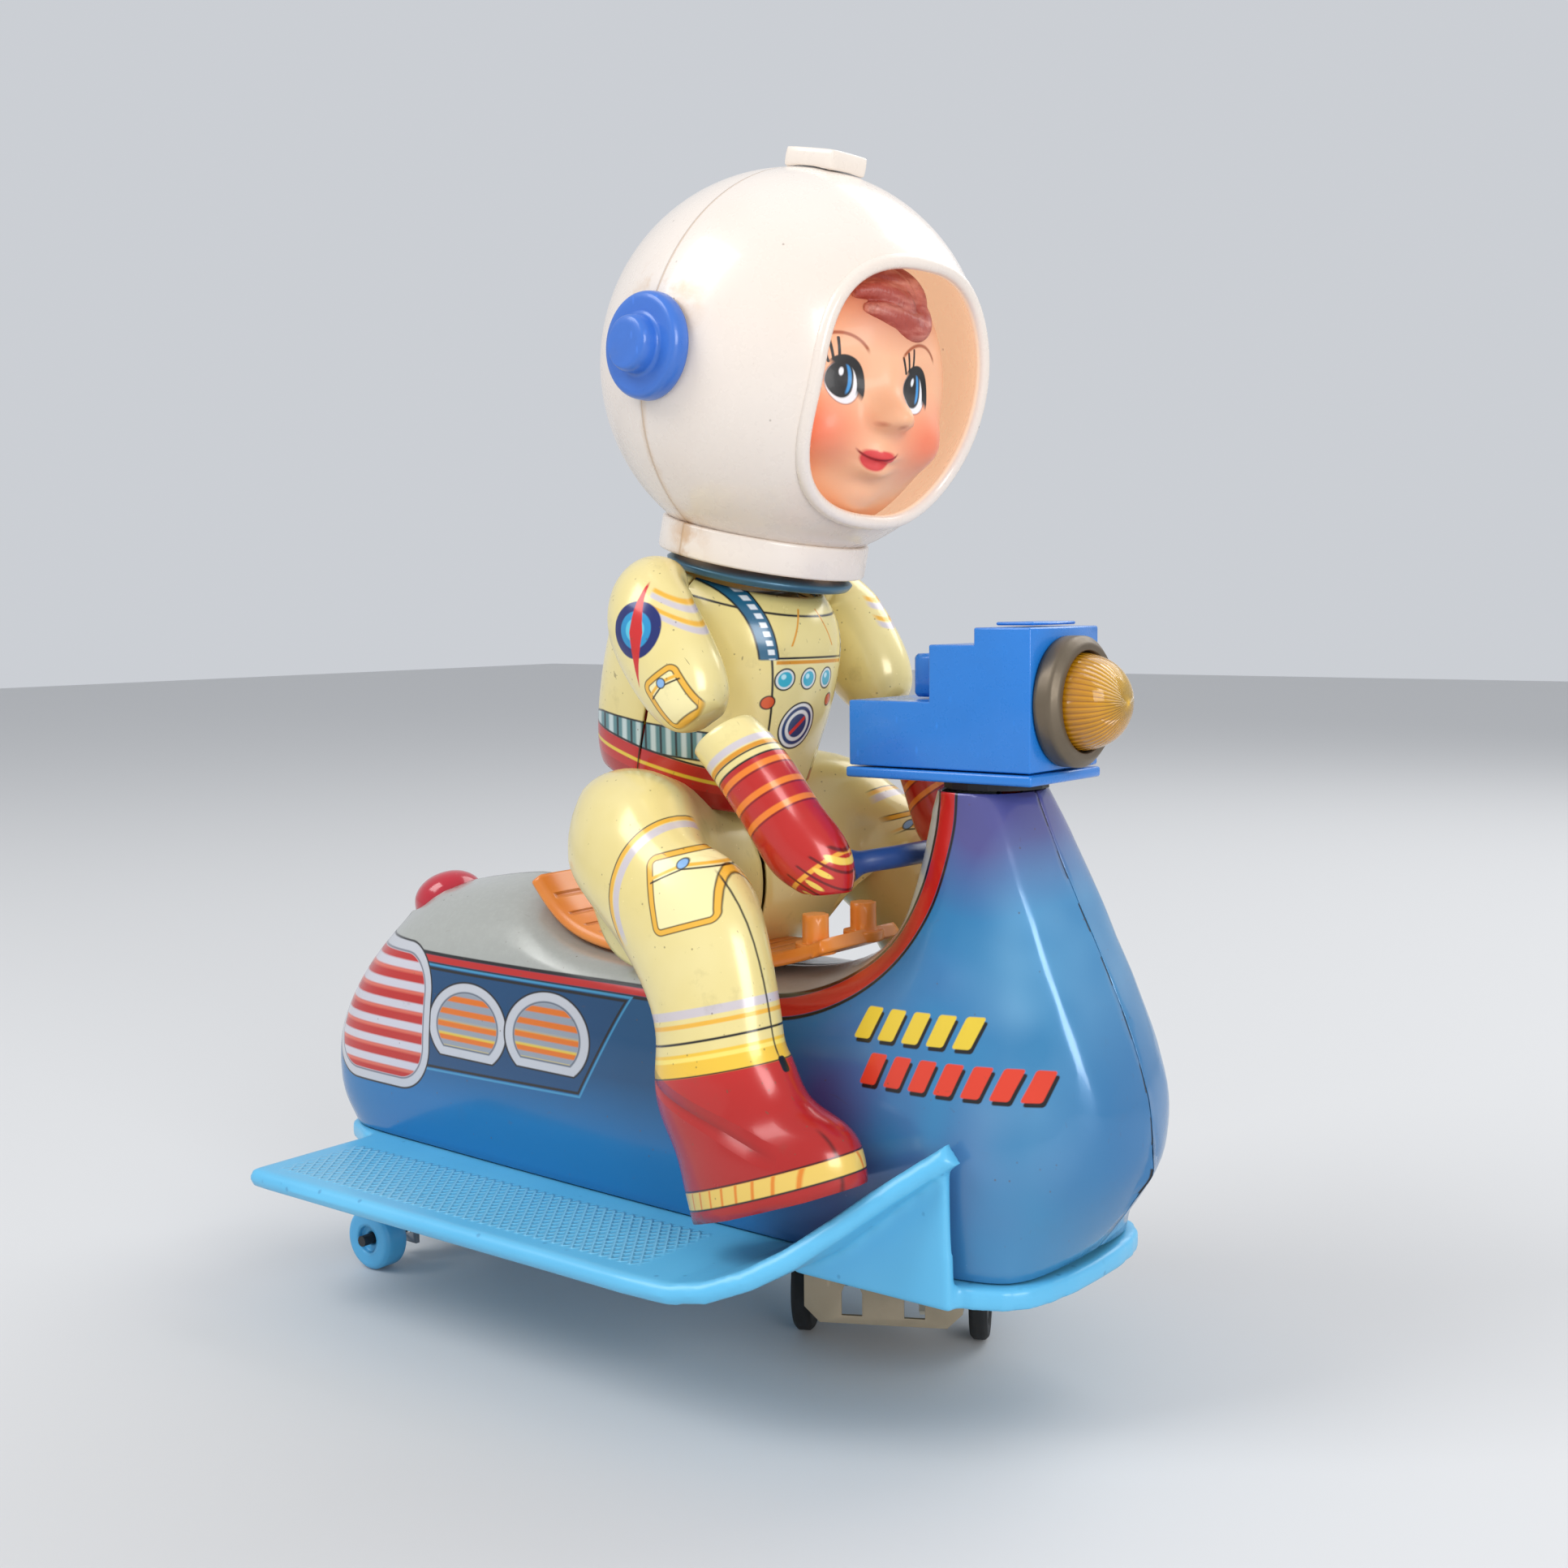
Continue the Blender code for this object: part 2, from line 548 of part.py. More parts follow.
def drive_axle():
    start = unit_point(-DRIVE_HALF_TRACK - 3, AXLE_N, DRIVE_R)
    length = 2 * DRIVE_HALF_TRACK + 6
    cylinder("drive_axle", start, unit_axis(), 1.25, length, "plated_steel", 12)
    axis = unit_axis()
    gear_obj = gear("drive_gear", DRIVE_TEETH, math.atan2(LAY_Z - DRIVE_R, LAY_N - AXLE_N)
                    + math.pi / DRIVE_TEETH, AXLE_N, DRIVE_R, 5.5, 8.5, "gear_plastic")
    cut(gear_obj, cylinder("gear_bore", start, axis, 1.55, length, steps=12))
    tread = [(DRIVE_R - 0.7, DRIVE_W / 2), (DRIVE_R, DRIVE_W / 2 - 0.7),
             (DRIVE_R, 0.7 - DRIVE_W / 2), (DRIVE_R - 0.7, -DRIVE_W / 2), (7.5, -DRIVE_W / 2),
             (7.5, DRIVE_W / 2)]
    hub = [(7.2, DRIVE_W / 2 - 0.4), (7.2, 0.4 - DRIVE_W / 2), (1.55, 0.4 - DRIVE_W / 2),
           (1.55, DRIVE_W / 2 - 0.4)]
    for side, label in ((-1, "rear"), (1, "front")):
        place = unit_point(side * DRIVE_HALF_TRACK, AXLE_N, DRIVE_R)
        turned("drive_tyre_" + label, tread, place, axis, "rubber", 22)
        turned("drive_hub_" + label, hub, place, axis, "black_plastic", 14)


def lay_shaft():
    """Worm wheel and pinion on one shaft, a single brass piece."""
    start = unit_point(-14.9, LAY_N, LAY_Z)
    obj = cylinder("lay_shaft", start, unit_axis(), 1.0, 29.8, "brass", 12)
    facing_drive = math.atan2(DRIVE_R - LAY_Z, AXLE_N - LAY_N)
    join(obj, gear("pinion_teeth", PINION_TEETH, facing_drive, LAY_N, LAY_Z, 5.5, 8.5))
    join(obj, gear("worm_wheel_teeth", WORM_WHEEL_TEETH, math.pi, LAY_N, LAY_Z, -1.3, 1.3))
    return obj


def motor_shaft():
    """Vertical shaft with a single-start worm at its foot."""
    pitch = math.pi * GEAR_MODULE
    low, high, steps, around = 12.1, 18.1, 25, 12
    facing = UNIT_TURN + math.pi / 2
    rings = []
    for i in range(steps):
        z = low + (high - low) * i / (steps - 1)
        turn = facing + 2 * math.pi * (z - LAY_Z) / pitch + math.pi
        one = []
        for j in range(around):
            angle = 2 * math.pi * j / around
            crest = max(0.0, math.cos(angle - turn)) ** 3
            fade = min(1.0, i / 3, (steps - 1 - i) / 3)
            radius = WORM_CORE_R + (WORM_OUTER_R - WORM_CORE_R) * crest * fade
            one.append((PIVOT_X + radius * math.cos(angle), radius * math.sin(angle), z))
        rings.append(one)
    worm = add("worm", grid_mesh("worm", rings, closed=True, cap_start=True, cap_end=True))
    top = MOTOR_BOTTOM - 1.4
    obj = cylinder("motor_shaft", (PIVOT_X, 0, 11.5), (0, 0, 1), 1.1, top - 11.5, "plated_steel", 12)
    return join(obj, worm)


def motor():
    profile = [(0, MOTOR_BOTTOM + MOTOR_LENGTH), (MOTOR_R, MOTOR_BOTTOM + MOTOR_LENGTH),
               (MOTOR_R, MOTOR_BOTTOM), (3, MOTOR_BOTTOM), (3, MOTOR_BOTTOM - 1), (0, MOTOR_BOTTOM - 1)]
    turned("motor", profile, (PIVOT_X, 0, 0), (0, 0, 1), "plated_steel", 24)
    top = MOTOR_BOTTOM + MOTOR_LENGTH
    strap = box("motor_bracket", (PIVOT_X - 13.2, -5, JOINT_Z + 0.3),
                (PIVOT_X + 13.2, 5, top + 1.3), "plated_steel")
    cut(strap, box("bracket_room", (PIVOT_X - 12.4, -8, JOINT_Z - 2),
                   (PIVOT_X + 12.4, 8, top + 0.4)))
    return strap


# ---------------------------------------------------------------- battery power

def batteries():
    for i, name in enumerate(("rear_cell", "front_cell")):
        x = CELL_REAR_X + i * (CELL_LENGTH + GAP)
        profile = [(0, CELL_LENGTH), (3.2, CELL_LENGTH), (3.2, CELL_LENGTH - 1.6),
                   (CELL_R, CELL_LENGTH - 1.6), (CELL_R, 0), (0, 0)]
        turned(name, profile, (x, 0, CELL_Z), (1, 0, 0), "cell_jacket", 20)
    front = CELL_REAR_X + 2 * CELL_LENGTH + 2 * GAP
    box("front_contact", (front, -6, CELL_Z - 7), (front + 0.8, 6, CELL_Z + 7), "brass")
    box("rear_contact", (CELL_REAR_X - 1.1, -6, CELL_Z - 7), (CELL_REAR_X - GAP, 6, CELL_Z + 7), "brass")


def battery_tray():
    """A half-round cradle that stands on the base under the two cells."""
    inner, outer = CELL_R + 0.4, CELL_R + 1.2
    sweep = [math.pi * (1.16 + 0.68 * i / 10) for i in range(11)]
    arc = [(outer * math.cos(t), CELL_Z + outer * math.sin(t)) for t in sweep]
    arc += [(inner * math.cos(t), CELL_Z + inner * math.sin(t)) for t in reversed(sweep)]
    verts = []
    for x in (CELL_REAR_X + 2, CELL_REAR_X + 2 * CELL_LENGTH - 2):
        verts += [(x, y, z) for y, z in arc]
    n = len(arc)
    faces = [tuple(range(n)), tuple(range(n, 2 * n))]
    faces += [(i, (i + 1) % n, n + (i + 1) % n, n + i) for i in range(n)]
    return add("battery_cradle", mesh_of("battery_cradle", verts, faces), "plated_steel")


# ---------------------------------------------------------------- seat, bar, lamps, console

# Seat line: distance forward, underside height
SEAT_LINE = ((-35.2, 87.6), (-32.6, 84.6), (-28.8, 80.9), (-23.6, 77.8), (-16.6, 75.9), (-8, 75.1), (8, 75),
             (20, 75.1), (28, 76.2), (34, 77.8), (38.2, 79.2), (41.2, 80.6))
SEAT_HALF = 13.0
SEAT_THICK = 2.6


def seat():
    """Ribbed moulding with a raised back, and two locating pegs in front."""
    rings = []
    centre = spline([(x, 0, z) for x, z in SEAT_LINE], 23)
    for i, here in enumerate(centre):
        step = centre[min(i + 1, 22)] - centre[max(i - 1, 0)]
        up = Vector((-step.z, 0, step.x)).normalized() * SEAT_THICK
        under = [here + Vector((0, y, 0)) for y in (-SEAT_HALF, SEAT_HALF)]
        over = [here + up + Vector((0, y, 0)) for y in (SEAT_HALF - 1, 0, 1 - SEAT_HALF)]
        rings.append([tuple(p) for p in under + over])
    mesh = grid_mesh("seat", rings, closed=True, cap_start=True, cap_end=True)
    obj = add("seat", mesh, "orange_plastic")
    for i, (x, y, z) in enumerate(((35.8, -8, 79.4), (38.3, 4, 80.4))):
        peg = cylinder("peg_%d" % i, (x, y, z), (0, 0, 1), 2.6, 7.4, steps=14)
        flange = cylinder("flange_%d" % i, (x, y, z), (0, 0, 1), 4.0, 2.0, steps=14)
        join(obj, flange)
        join(obj, peg)
    return obj


def rear_lamp():
    profile = [(0, 5.0), (4.4, 4.1), (7.2, 2.0), (8.2, -0.6), (8.2, -4.5), (0, -4.5)]
    return turned("rear_lamp", profile, REAR_LAMP, REAR_LAMP_AXIS, "red_lens", 20)


def handlebar():
    """One bar across the rider's hands, bent round the back of the neck."""
    path = [(49.4, -15.4, 98.0), (51.6, -12.6, 98.6), (53.7, -8, 98.9), (54.5, 0, 99),
            (53.7, 8, 98.9), (51.6, 12.6, 98.6), (49.4, 15.4, 98.0)]
    points = spline(path, 13)
    rings = []
    for i, here in enumerate(points):
        step = points[min(i + 1, 12)] - points[max(i - 1, 0)]
        swell = 1.2 if i in (0, 12) else 0.0
        n = step.normalized()
        across = n.cross(Vector((0, 0, 1))).normalized()
        up = across.cross(n)
        r = 2.2 + swell
        rings.append([here + across * r * math.cos(t) + up * r * math.sin(t)
                      for t in (2 * math.pi * k / 10 for k in range(10))])
    mesh = grid_mesh("handlebar", rings, closed=True, cap_start=True, cap_end=True)
    return add("handlebar", mesh, "dark_blue_plastic")


def console():
    """The stepped instrument box: a shell open below, closed by its own floor."""
    x0, x1 = CONSOLE
    floor, low, mid, top = CONSOLE_Z
    first, second = CONSOLE_STEPS
    outline = ((x0, floor + 2.2), (x1, floor + 2.2), (x1, top), (second, top), (second, mid),
               (first, mid), (first, low), (x0, low))
    half = CONSOLE_HALF
    obj = slab("console_shell", outline, -half, half, 'Y', "console_plastic")
    wall = PLASTIC
    room = ((x0 + wall, floor), (x1 - wall, floor), (x1 - wall, top - wall), (second + wall, top - wall),
            (second + wall, mid - wall), (first + wall, mid - wall), (first + wall, low - wall),
            (x0 + wall, low - wall))
    cut(obj, slab("console_room", room, wall - half, half - wall, 'Y'))
    cut(obj, cylinder("lamp_hole", (x1 - 5, 0, LAMP_Z), (1, 0, 0), 8.4, 12, steps=24))
    box("console_floor", (x0 - 0.5, -half - 0.5, floor), (x1 + 0.5, half + 0.5, floor + 1.9),
        "console_plastic")
    box("console_cap", (75, -7.4, top + 0.3), (82.5, 7.4, top + 0.9), "console_plastic")
    box("console_button", (54.3, -2.5, low + 0.3), (59, 5, 135.8), "console_plastic", 0.8)
    return obj


def head_lamp():
    face = CONSOLE[1] + 0.3
    bezel = [(10.2, 4.4), (LAMP_R, 3.2), (LAMP_R, 0), (9.0, 0), (9.0, 4.4)]
    turned("lamp_bezel", bezel, (face, 0, LAMP_Z), (1, 0, 0), "lamp_trim", 24)
    dome = [(0, 12.3), (3.4, 11.6), (6.4, 9.6), (8.2, 6.6), (8.8, 3.0), (8.8, 0.3), (7.8, 0.3),
            (7.6, 2.6), (7.1, 5.8), (5.4, 8.4), (3.0, 10.2), (0, 10.9)]
    turned("lamp_lens", dome, (face, 0, LAMP_Z), (1, 0, 0), "amber_lens", 20)
    socket = [(0, 1.5), (4.2, 1.5), (4.2, -12), (0, -12)]
    turned("lamp_socket", socket, (face - 2, 0, LAMP_Z), (1, 0, 0), "brass", 16)
    bulb = [(0, 5.2), (2.0, 4.4), (2.8, 2.6), (2.6, 0.6), (2.0, 0), (0, 0)]
    turned("lamp_bulb", bulb, (face - 0.2, 0, LAMP_Z), (1, 0, 0), "bulb_glass", 16)


# ---------------------------------------------------------------- rider

TORSO_AXIS = (0.27, 0, 0.963)
# Torso ovals: centre forward, centre height, half-depth, half-width
TORSO_OVALS = ((1, 110, 21.2, 18.2), (1.6, 113, 22.4, 19.2), (3, 119, 23.2, 19.8),
               (5.8, 130, 24.2, 20.2), (8.6, 139, 23.8, 20.2), (10.6, 144.8, 21.6, 19.4),
               (12.2, 148.4, 18.2, 16.8), (13, 150.4, 15.6, 15))


def torso_half(name, start):
    rows = 9
    data = spline([(s[0], s[1], 0) for s in TORSO_OVALS], rows)
    sizes = spline([(s[2], s[3], 0) for s in TORSO_OVALS], rows)
    skin = []
    inset = 0.012
    for c, z in zip(data, sizes):
        skin.append(ring((c.x, 0, c.y), TORSO_AXIS, z[0], z[1], 10, start + inset,
                         math.pi - 2 * inset, 2.3))
    obj = add(name, grid_mesh(name, skin), "suit_tin")
    thicken(obj, TIN)
    x, z = SHOULDER
    return cut(obj, cylinder(name + "_rod_hole", (x, -30, z), (0, 1, 0), 1.5, 60, steps=10))


def shoulder_rod():
    """Wire rod through the chest, on whose ends the two arms swing."""
    x, z = SHOULDER
    return cylinder("shoulder_rod", (x, -23.5, z), (0, 1, 0), 1.1, 47, "plated_steel", 10)


def leg(name, side):
    """Hip, thigh and boot, stamped as one hollow limb that opens at the hip."""
    y = LEG_Y
    sections = (
        ((3, 0.6, 91.4), (0, 1, 0), 15, 13), ((3.6, 9, 92.2), (0, 1, 0), 16, 13.8),
        ((4.2, 16, 93.4), (0, 1, 0), 17, 14.9), ((5, 20.4, 93.8), (0, 1, 0), 17.6, 15.2),
        ((8, 25.6, 96.8), (0.05, 0.9, -0.4), 17.8, 16.2),
        ((15.4, 32, 95), (0.2, 0.55, -0.8), 18, 12.6), ((25, 35.6, 93.4), (0.36, 0.15, -0.92), 16.8, 10.4),
        ((34.2, y - 0.9, 79.5), (0.2, 0, -0.98), 14, 9.6), ((36, y - 0.3, 69.2), (0.12, 0, -0.99), 13, 9.2),
        ((36.8, y, 65.9), (0.16, 0, -0.98), 13.9, 9.9), ((37.7, y, 60.3), (0.2, 0, -0.98), 15.7, 10),
        ((39.9, y, 55.4), (0.28, 0, -0.96), 15.6, 9.4), ((45, y, 52.2), (0.3, 0, -0.95), 18.2, 10.4),
        ((48, y, 47.4), (0.34, 0, -0.94), 20, 11), ((49.4, y, 41), (0.34, 0, -0.94), 19.6, 10.4),
    )
    return limb(name, sections, "suit_tin", 14, 16, side)


def arm(name, side):
    """Upper arm: hollow, open towards the shoulder."""
    y = ARM_Y
    upper = (
        ((11, 21.6, 148.2), (0.05, 1, 0.1), 6.4, 6), ((11.6, 25.2, 148.4), (0.15, 0.9, -0.4), 7.4, 7),
        ((13.6, y - 0.6, 144.6), (0.42, 0.25, -0.87), 9.4, 7.8), ((16.6, y, 139.2), (0.5, 0, -0.86), 10.2, 7.9),
        ((21.4, y, 132.2), (0.55, 0, -0.83), 9.9, 7.8), ((25.6, y, 126.6), (0.6, 0, -0.8), 8, 7),
        ((27.6, y, 124.2), (0.6, 0, -0.8), 4.4, 4.4),
    )
    limb(name + "_upper_arm", upper, "suit_tin", 10, 9, side)
    fore = (
        ((31.6, y - 0.4, 121.6), (0.64, 0, -0.77), 6.6, 6.6), ((35.4, y - 1.2, 117.8), (0.62, -0.05, -0.78), 7.2, 7.2),
        ((39.6, y - 3, 111.4), (0.5, -0.1, -0.86), 7.3, 7.3), ((42.8, y - 4.4, 105.6), (0.48, -0.15, -0.86), 7.6, 7),
        ((46.2, y - 5.4, 101), (0.45, -0.15, -0.88), 8.4, 7.1), ((49, y - 6, 97.2), (0.3, -0.1, -0.95), 7.1, 6.4),
        ((50.3, y - 6, 94), (0.1, 0, -0.99), 4.8, 4.4),
    )
    limb(name + "_forearm", fore, "suit_tin", 10, 9, side)


def head_matrix():
    """Helmet frame: local +X looks out of the window, local +Z is the helmet's crown."""
    turn = Matrix.Rotation(HEAD_TILT, 4, 'Y') @ Matrix.Rotation(HEAD_TURN, 4, 'Z')
    return Matrix.Translation(HELMET_CENTRE * MM) @ turn


def arc_profile(radius, low, high, count):
    return [(radius * math.cos(a), radius * math.sin(a))
            for a in (high + (low - high) * i / (count - 1) for i in range(count))]


def helmet():
    """Moulded globe with a collar, a window in front and a cap and ear discs on it."""
    outer = arc_profile(HELMET_R, math.radians(-58.5), math.pi / 2, 12)
    inner = arc_profile(HELMET_R - HELMET_WALL, math.radians(-58.5), math.pi / 2, 12)
    outer[0] = (0.0, HELMET_R)
    inner[0] = (0.0, HELMET_R - HELMET_WALL)
    collar = [(20.2, -31.8), (20.2, -37.2), (17.2, -37.2), (17.2, -32)]
    profile = outer + collar + inner[::-1]
    mesh = bpy.data.meshes.new("helmet")
    mesh.from_pydata([(r * MM, 0, z * MM) for r, z in profile],
                     [(i, i + 1) for i in range(len(profile) - 1)], [])
    obj = add("helmet", mesh, "helmet_plastic", head_matrix())
    screw = obj.modifiers.new("turn", 'SCREW')
    screw.steps = 30
    screw.render_steps = 30
    screw.use_merge_vertices = True
    screw.merge_threshold = 0.00002
    window = [(math.copysign(abs(math.cos(t)) ** 0.8, math.cos(t)) * 22.4,
               math.copysign(abs(math.sin(t)) ** 0.8, math.sin(t)) * 23 - 1.5)
              for t in (2 * math.pi * k / 28 for k in range(28))]
    verts = [(x, y, z) for x in (12, 60) for y, z in window]
    n = len(window)
    faces = [tuple(range(n)), tuple(range(n, 2 * n))]
    faces += [(i, (i + 1) % n, n + (i + 1) % n, n + i) for i in range(n)]
    cut(obj, add("helmet_window", mesh_of("helmet_window", verts, faces), None, head_matrix()))
    return obj


def helmet_trim():
    frame = head_matrix()
    low = math.sqrt(HELMET_R ** 2 - CAP[0] ** 2 - CAP[1] ** 2) + GAP
    cap = box("helmet_cap", (-CAP[0], -CAP[1], low), (CAP[0], CAP[1], HELMET_R + CAP[2]), "helmet_plastic",
              0.9, frame)
    room = Matrix.Diagonal((*[(HELMET_R + GAP) * MM] * 3, 1))
    cut(cap, ball("cap_room", frame @ room, 32, 24))
    for side, label in ((-1, "right"), (1, "left")):
        profile = [(0, 6.2), (4.5, 6.2), (5.2, 5.4), (5.2, 2.9), (8.9, 2.9), (9.7, 2.1), (9.7, -0.2),
                   (8.6, -0.7), (4.0, 0.35), (0, 0.35)]
        disc = turned("ear_disc_" + label, profile, (0, 0, 0), (0, 0, 1), "ear_plastic", 18)
        local = Matrix.Translation((0, side * HELMET_R * MM, 0)) @ Matrix.Rotation(-side * math.pi / 2, 4, 'X')
        disc.matrix_world = frame @ local
    return cap


def ball(name, matrix, around=16, up=11, slot=None):
    """A unit sphere stretched and placed by a matrix in metres."""
    bm = bmesh.new()
    bmesh.ops.create_uvsphere(bm, u_segments=around, v_segments=up, radius=1.0, matrix=matrix)
    mesh = bpy.data.meshes.new(name)
    bm.to_mesh(mesh)
    bm.free()
    return add(name, mesh, slot)


def oval(centre, sizes):
    """Matrix of an ellipsoid given in millimetres."""
    return Matrix.Translation(Vector(centre) * MM) @ Matrix.Diagonal((*[s * MM for s in sizes], 1))


def head():
    """The doll's head and the short neck plug that holds it in the helmet's collar."""
    obj = ball("head", oval((6.5, 0, -6), (24.5, 23.5, 24.5)), 16, 11, "head_vinyl")
    obj.matrix_world = head_matrix()
    plug = cylinder("neck_plug", (0, 0, 0), (0, 0, 1), 12, 16, steps=18)
    plug.matrix_world = head_matrix() @ Matrix.Translation((0, 0, -39.4 * MM))
    nose = ball("nose", oval((31, 0, -9.5), (3.2, 3.2, 3)), 10, 7)
    nose.matrix_world = head_matrix()
    join(obj, plug)
    return join(obj, nose)


def neck_ring():
    """Collar seat of the torso, on which the helmet turns."""
    place = HELMET_CENTRE + Vector((-math.sin(HEAD_TILT), 0, -math.cos(HEAD_TILT))) * 39.4
    profile = [(16.4, 1.8), (18.5, 0.4), (17.8, -0.8), (12.8, -0.8), (12.8, 1.8)]
    axis = (math.sin(HEAD_TILT), 0, math.cos(HEAD_TILT))
    return turned("neck_ring", profile, place, axis, "collar_tin", 24)


def build():
    clear_scene()
    make_finishes()
    body_half("body_right", -1)
    body_half("body_left", 1)
    base()
    battery_hatch()
    hatch_guides()
    power_switch()
    rear_bracket()
    rear_axle()
    turntable()
    keeper_ring()
    drive_casing()
    drive_axle()
    lay_shaft()
    motor_shaft()
    motor()
    batteries()
    battery_tray()
    seat()
    rear_lamp()
    neck_washer()
    handlebar()
    console()
    head_lamp()
    torso_half("torso_front", -math.pi / 2)
    torso_half("torso_back", math.pi / 2)
    shoulder_rod()
    neck_ring()
    leg("right_leg", -1)
    leg("left_leg", 1)
    arm("right", -1)
    arm("left", 1)
    helmet()
    helmet_trim()
    head()


build()
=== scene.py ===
"""Tin rider on a space scooter: the finished look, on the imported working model."""
import json
import math

import bmesh
import bpy
from mathutils import Euler, Matrix, Vector


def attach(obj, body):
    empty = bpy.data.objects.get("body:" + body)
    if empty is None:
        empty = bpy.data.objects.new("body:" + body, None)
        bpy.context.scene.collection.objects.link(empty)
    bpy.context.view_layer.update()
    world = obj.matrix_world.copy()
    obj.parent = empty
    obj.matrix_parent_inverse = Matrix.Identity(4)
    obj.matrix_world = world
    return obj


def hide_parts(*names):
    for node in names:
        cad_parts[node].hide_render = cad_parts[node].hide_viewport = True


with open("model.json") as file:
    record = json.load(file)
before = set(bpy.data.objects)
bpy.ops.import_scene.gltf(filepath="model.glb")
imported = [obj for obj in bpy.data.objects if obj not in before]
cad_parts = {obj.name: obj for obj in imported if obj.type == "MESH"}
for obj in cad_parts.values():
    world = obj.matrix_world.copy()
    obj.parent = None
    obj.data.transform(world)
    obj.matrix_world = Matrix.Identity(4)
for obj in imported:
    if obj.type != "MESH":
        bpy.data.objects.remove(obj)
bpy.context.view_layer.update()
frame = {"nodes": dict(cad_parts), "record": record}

MM = 0.001
BODY_OF = {node: name for name, nodes in frame["record"]["behaviour"]["bodies"].items() for node in nodes}


# Helmet and head frame, in millimetres
HELMET_CENTRE = Vector((25.4, 0.0, 189.7))
HELMET_R = 36.4
HELMET_WALL = 1.5
HELMET_TURN = Matrix.Rotation(math.radians(12.5), 3, 'Y') @ Matrix.Rotation(math.radians(-6), 3, 'Z')
GLANCE = Matrix.Rotation(math.radians(-13), 3, 'Z')
FACE_TURN = HELMET_TURN @ GLANCE
HEAD_CENTRE = Vector((6.5, 0.0, -3.5))
HEAD_SIZE = Vector((24.5, 23.5, 27.0))

# How far the suit's shells are drawn out to meet their neighbours, in millimetres
THIGH_DROP = 5.0
HIP_RISE = 4.5
WAIST_DRAW = 0.5

# Mesh sizes for the pieces that are remade as one even mesh, in millimetres
FOOTBOARD_MESH = 0.75
CURL_MESH = 0.35

# Camera: its place in metres, its turn in degrees and its lens in millimetres
CAMERA_PLACE = (0.25106, -0.29474, 0.14574)
CAMERA_TURN = (84.534, 0.543, 37.753)
CAMERA_LENS = 44.14


# ------------------------------------------------------------------ shader maths

class Num:
    """A value in a material; adding, scaling and comparing it adds the Math nodes."""

    def __init__(self, kit, socket):
        self.kit = kit
        self.socket = socket

    def math(self, operation, *others, clamp=False):
        return self.kit.math(operation, self, *others, clamp=clamp)

    def __add__(self, other):
        return self.math('ADD', other)

    __radd__ = __add__

    def __sub__(self, other):
        return self.math('SUBTRACT', other)

    def __rsub__(self, other):
        return self.kit.math('SUBTRACT', other, self)

    def __mul__(self, other):
        return self.math('MULTIPLY', other)

    __rmul__ = __mul__

    def __truediv__(self, other):
        return self.math('DIVIDE', other)

    def __neg__(self):
        return self * -1.0

    def __abs__(self):
        return self.math('ABSOLUTE')

    def low(self, other):
        return self.math('MINIMUM', other)

    def high(self, other):
        return self.math('MAXIMUM', other)

    def root(self):
        return self.math('SQRT')

    def wave(self, period):
        """Distance from the nearest multiple of the period."""
        return self.math('PINGPONG', period / 2)

    def ramp(self, start, end):
        """0 at start, 1 at end, and even between them."""
        scale = 1.0 / (end - start)
        return self.math('MULTIPLY_ADD', scale, -start * scale, clamp=True)


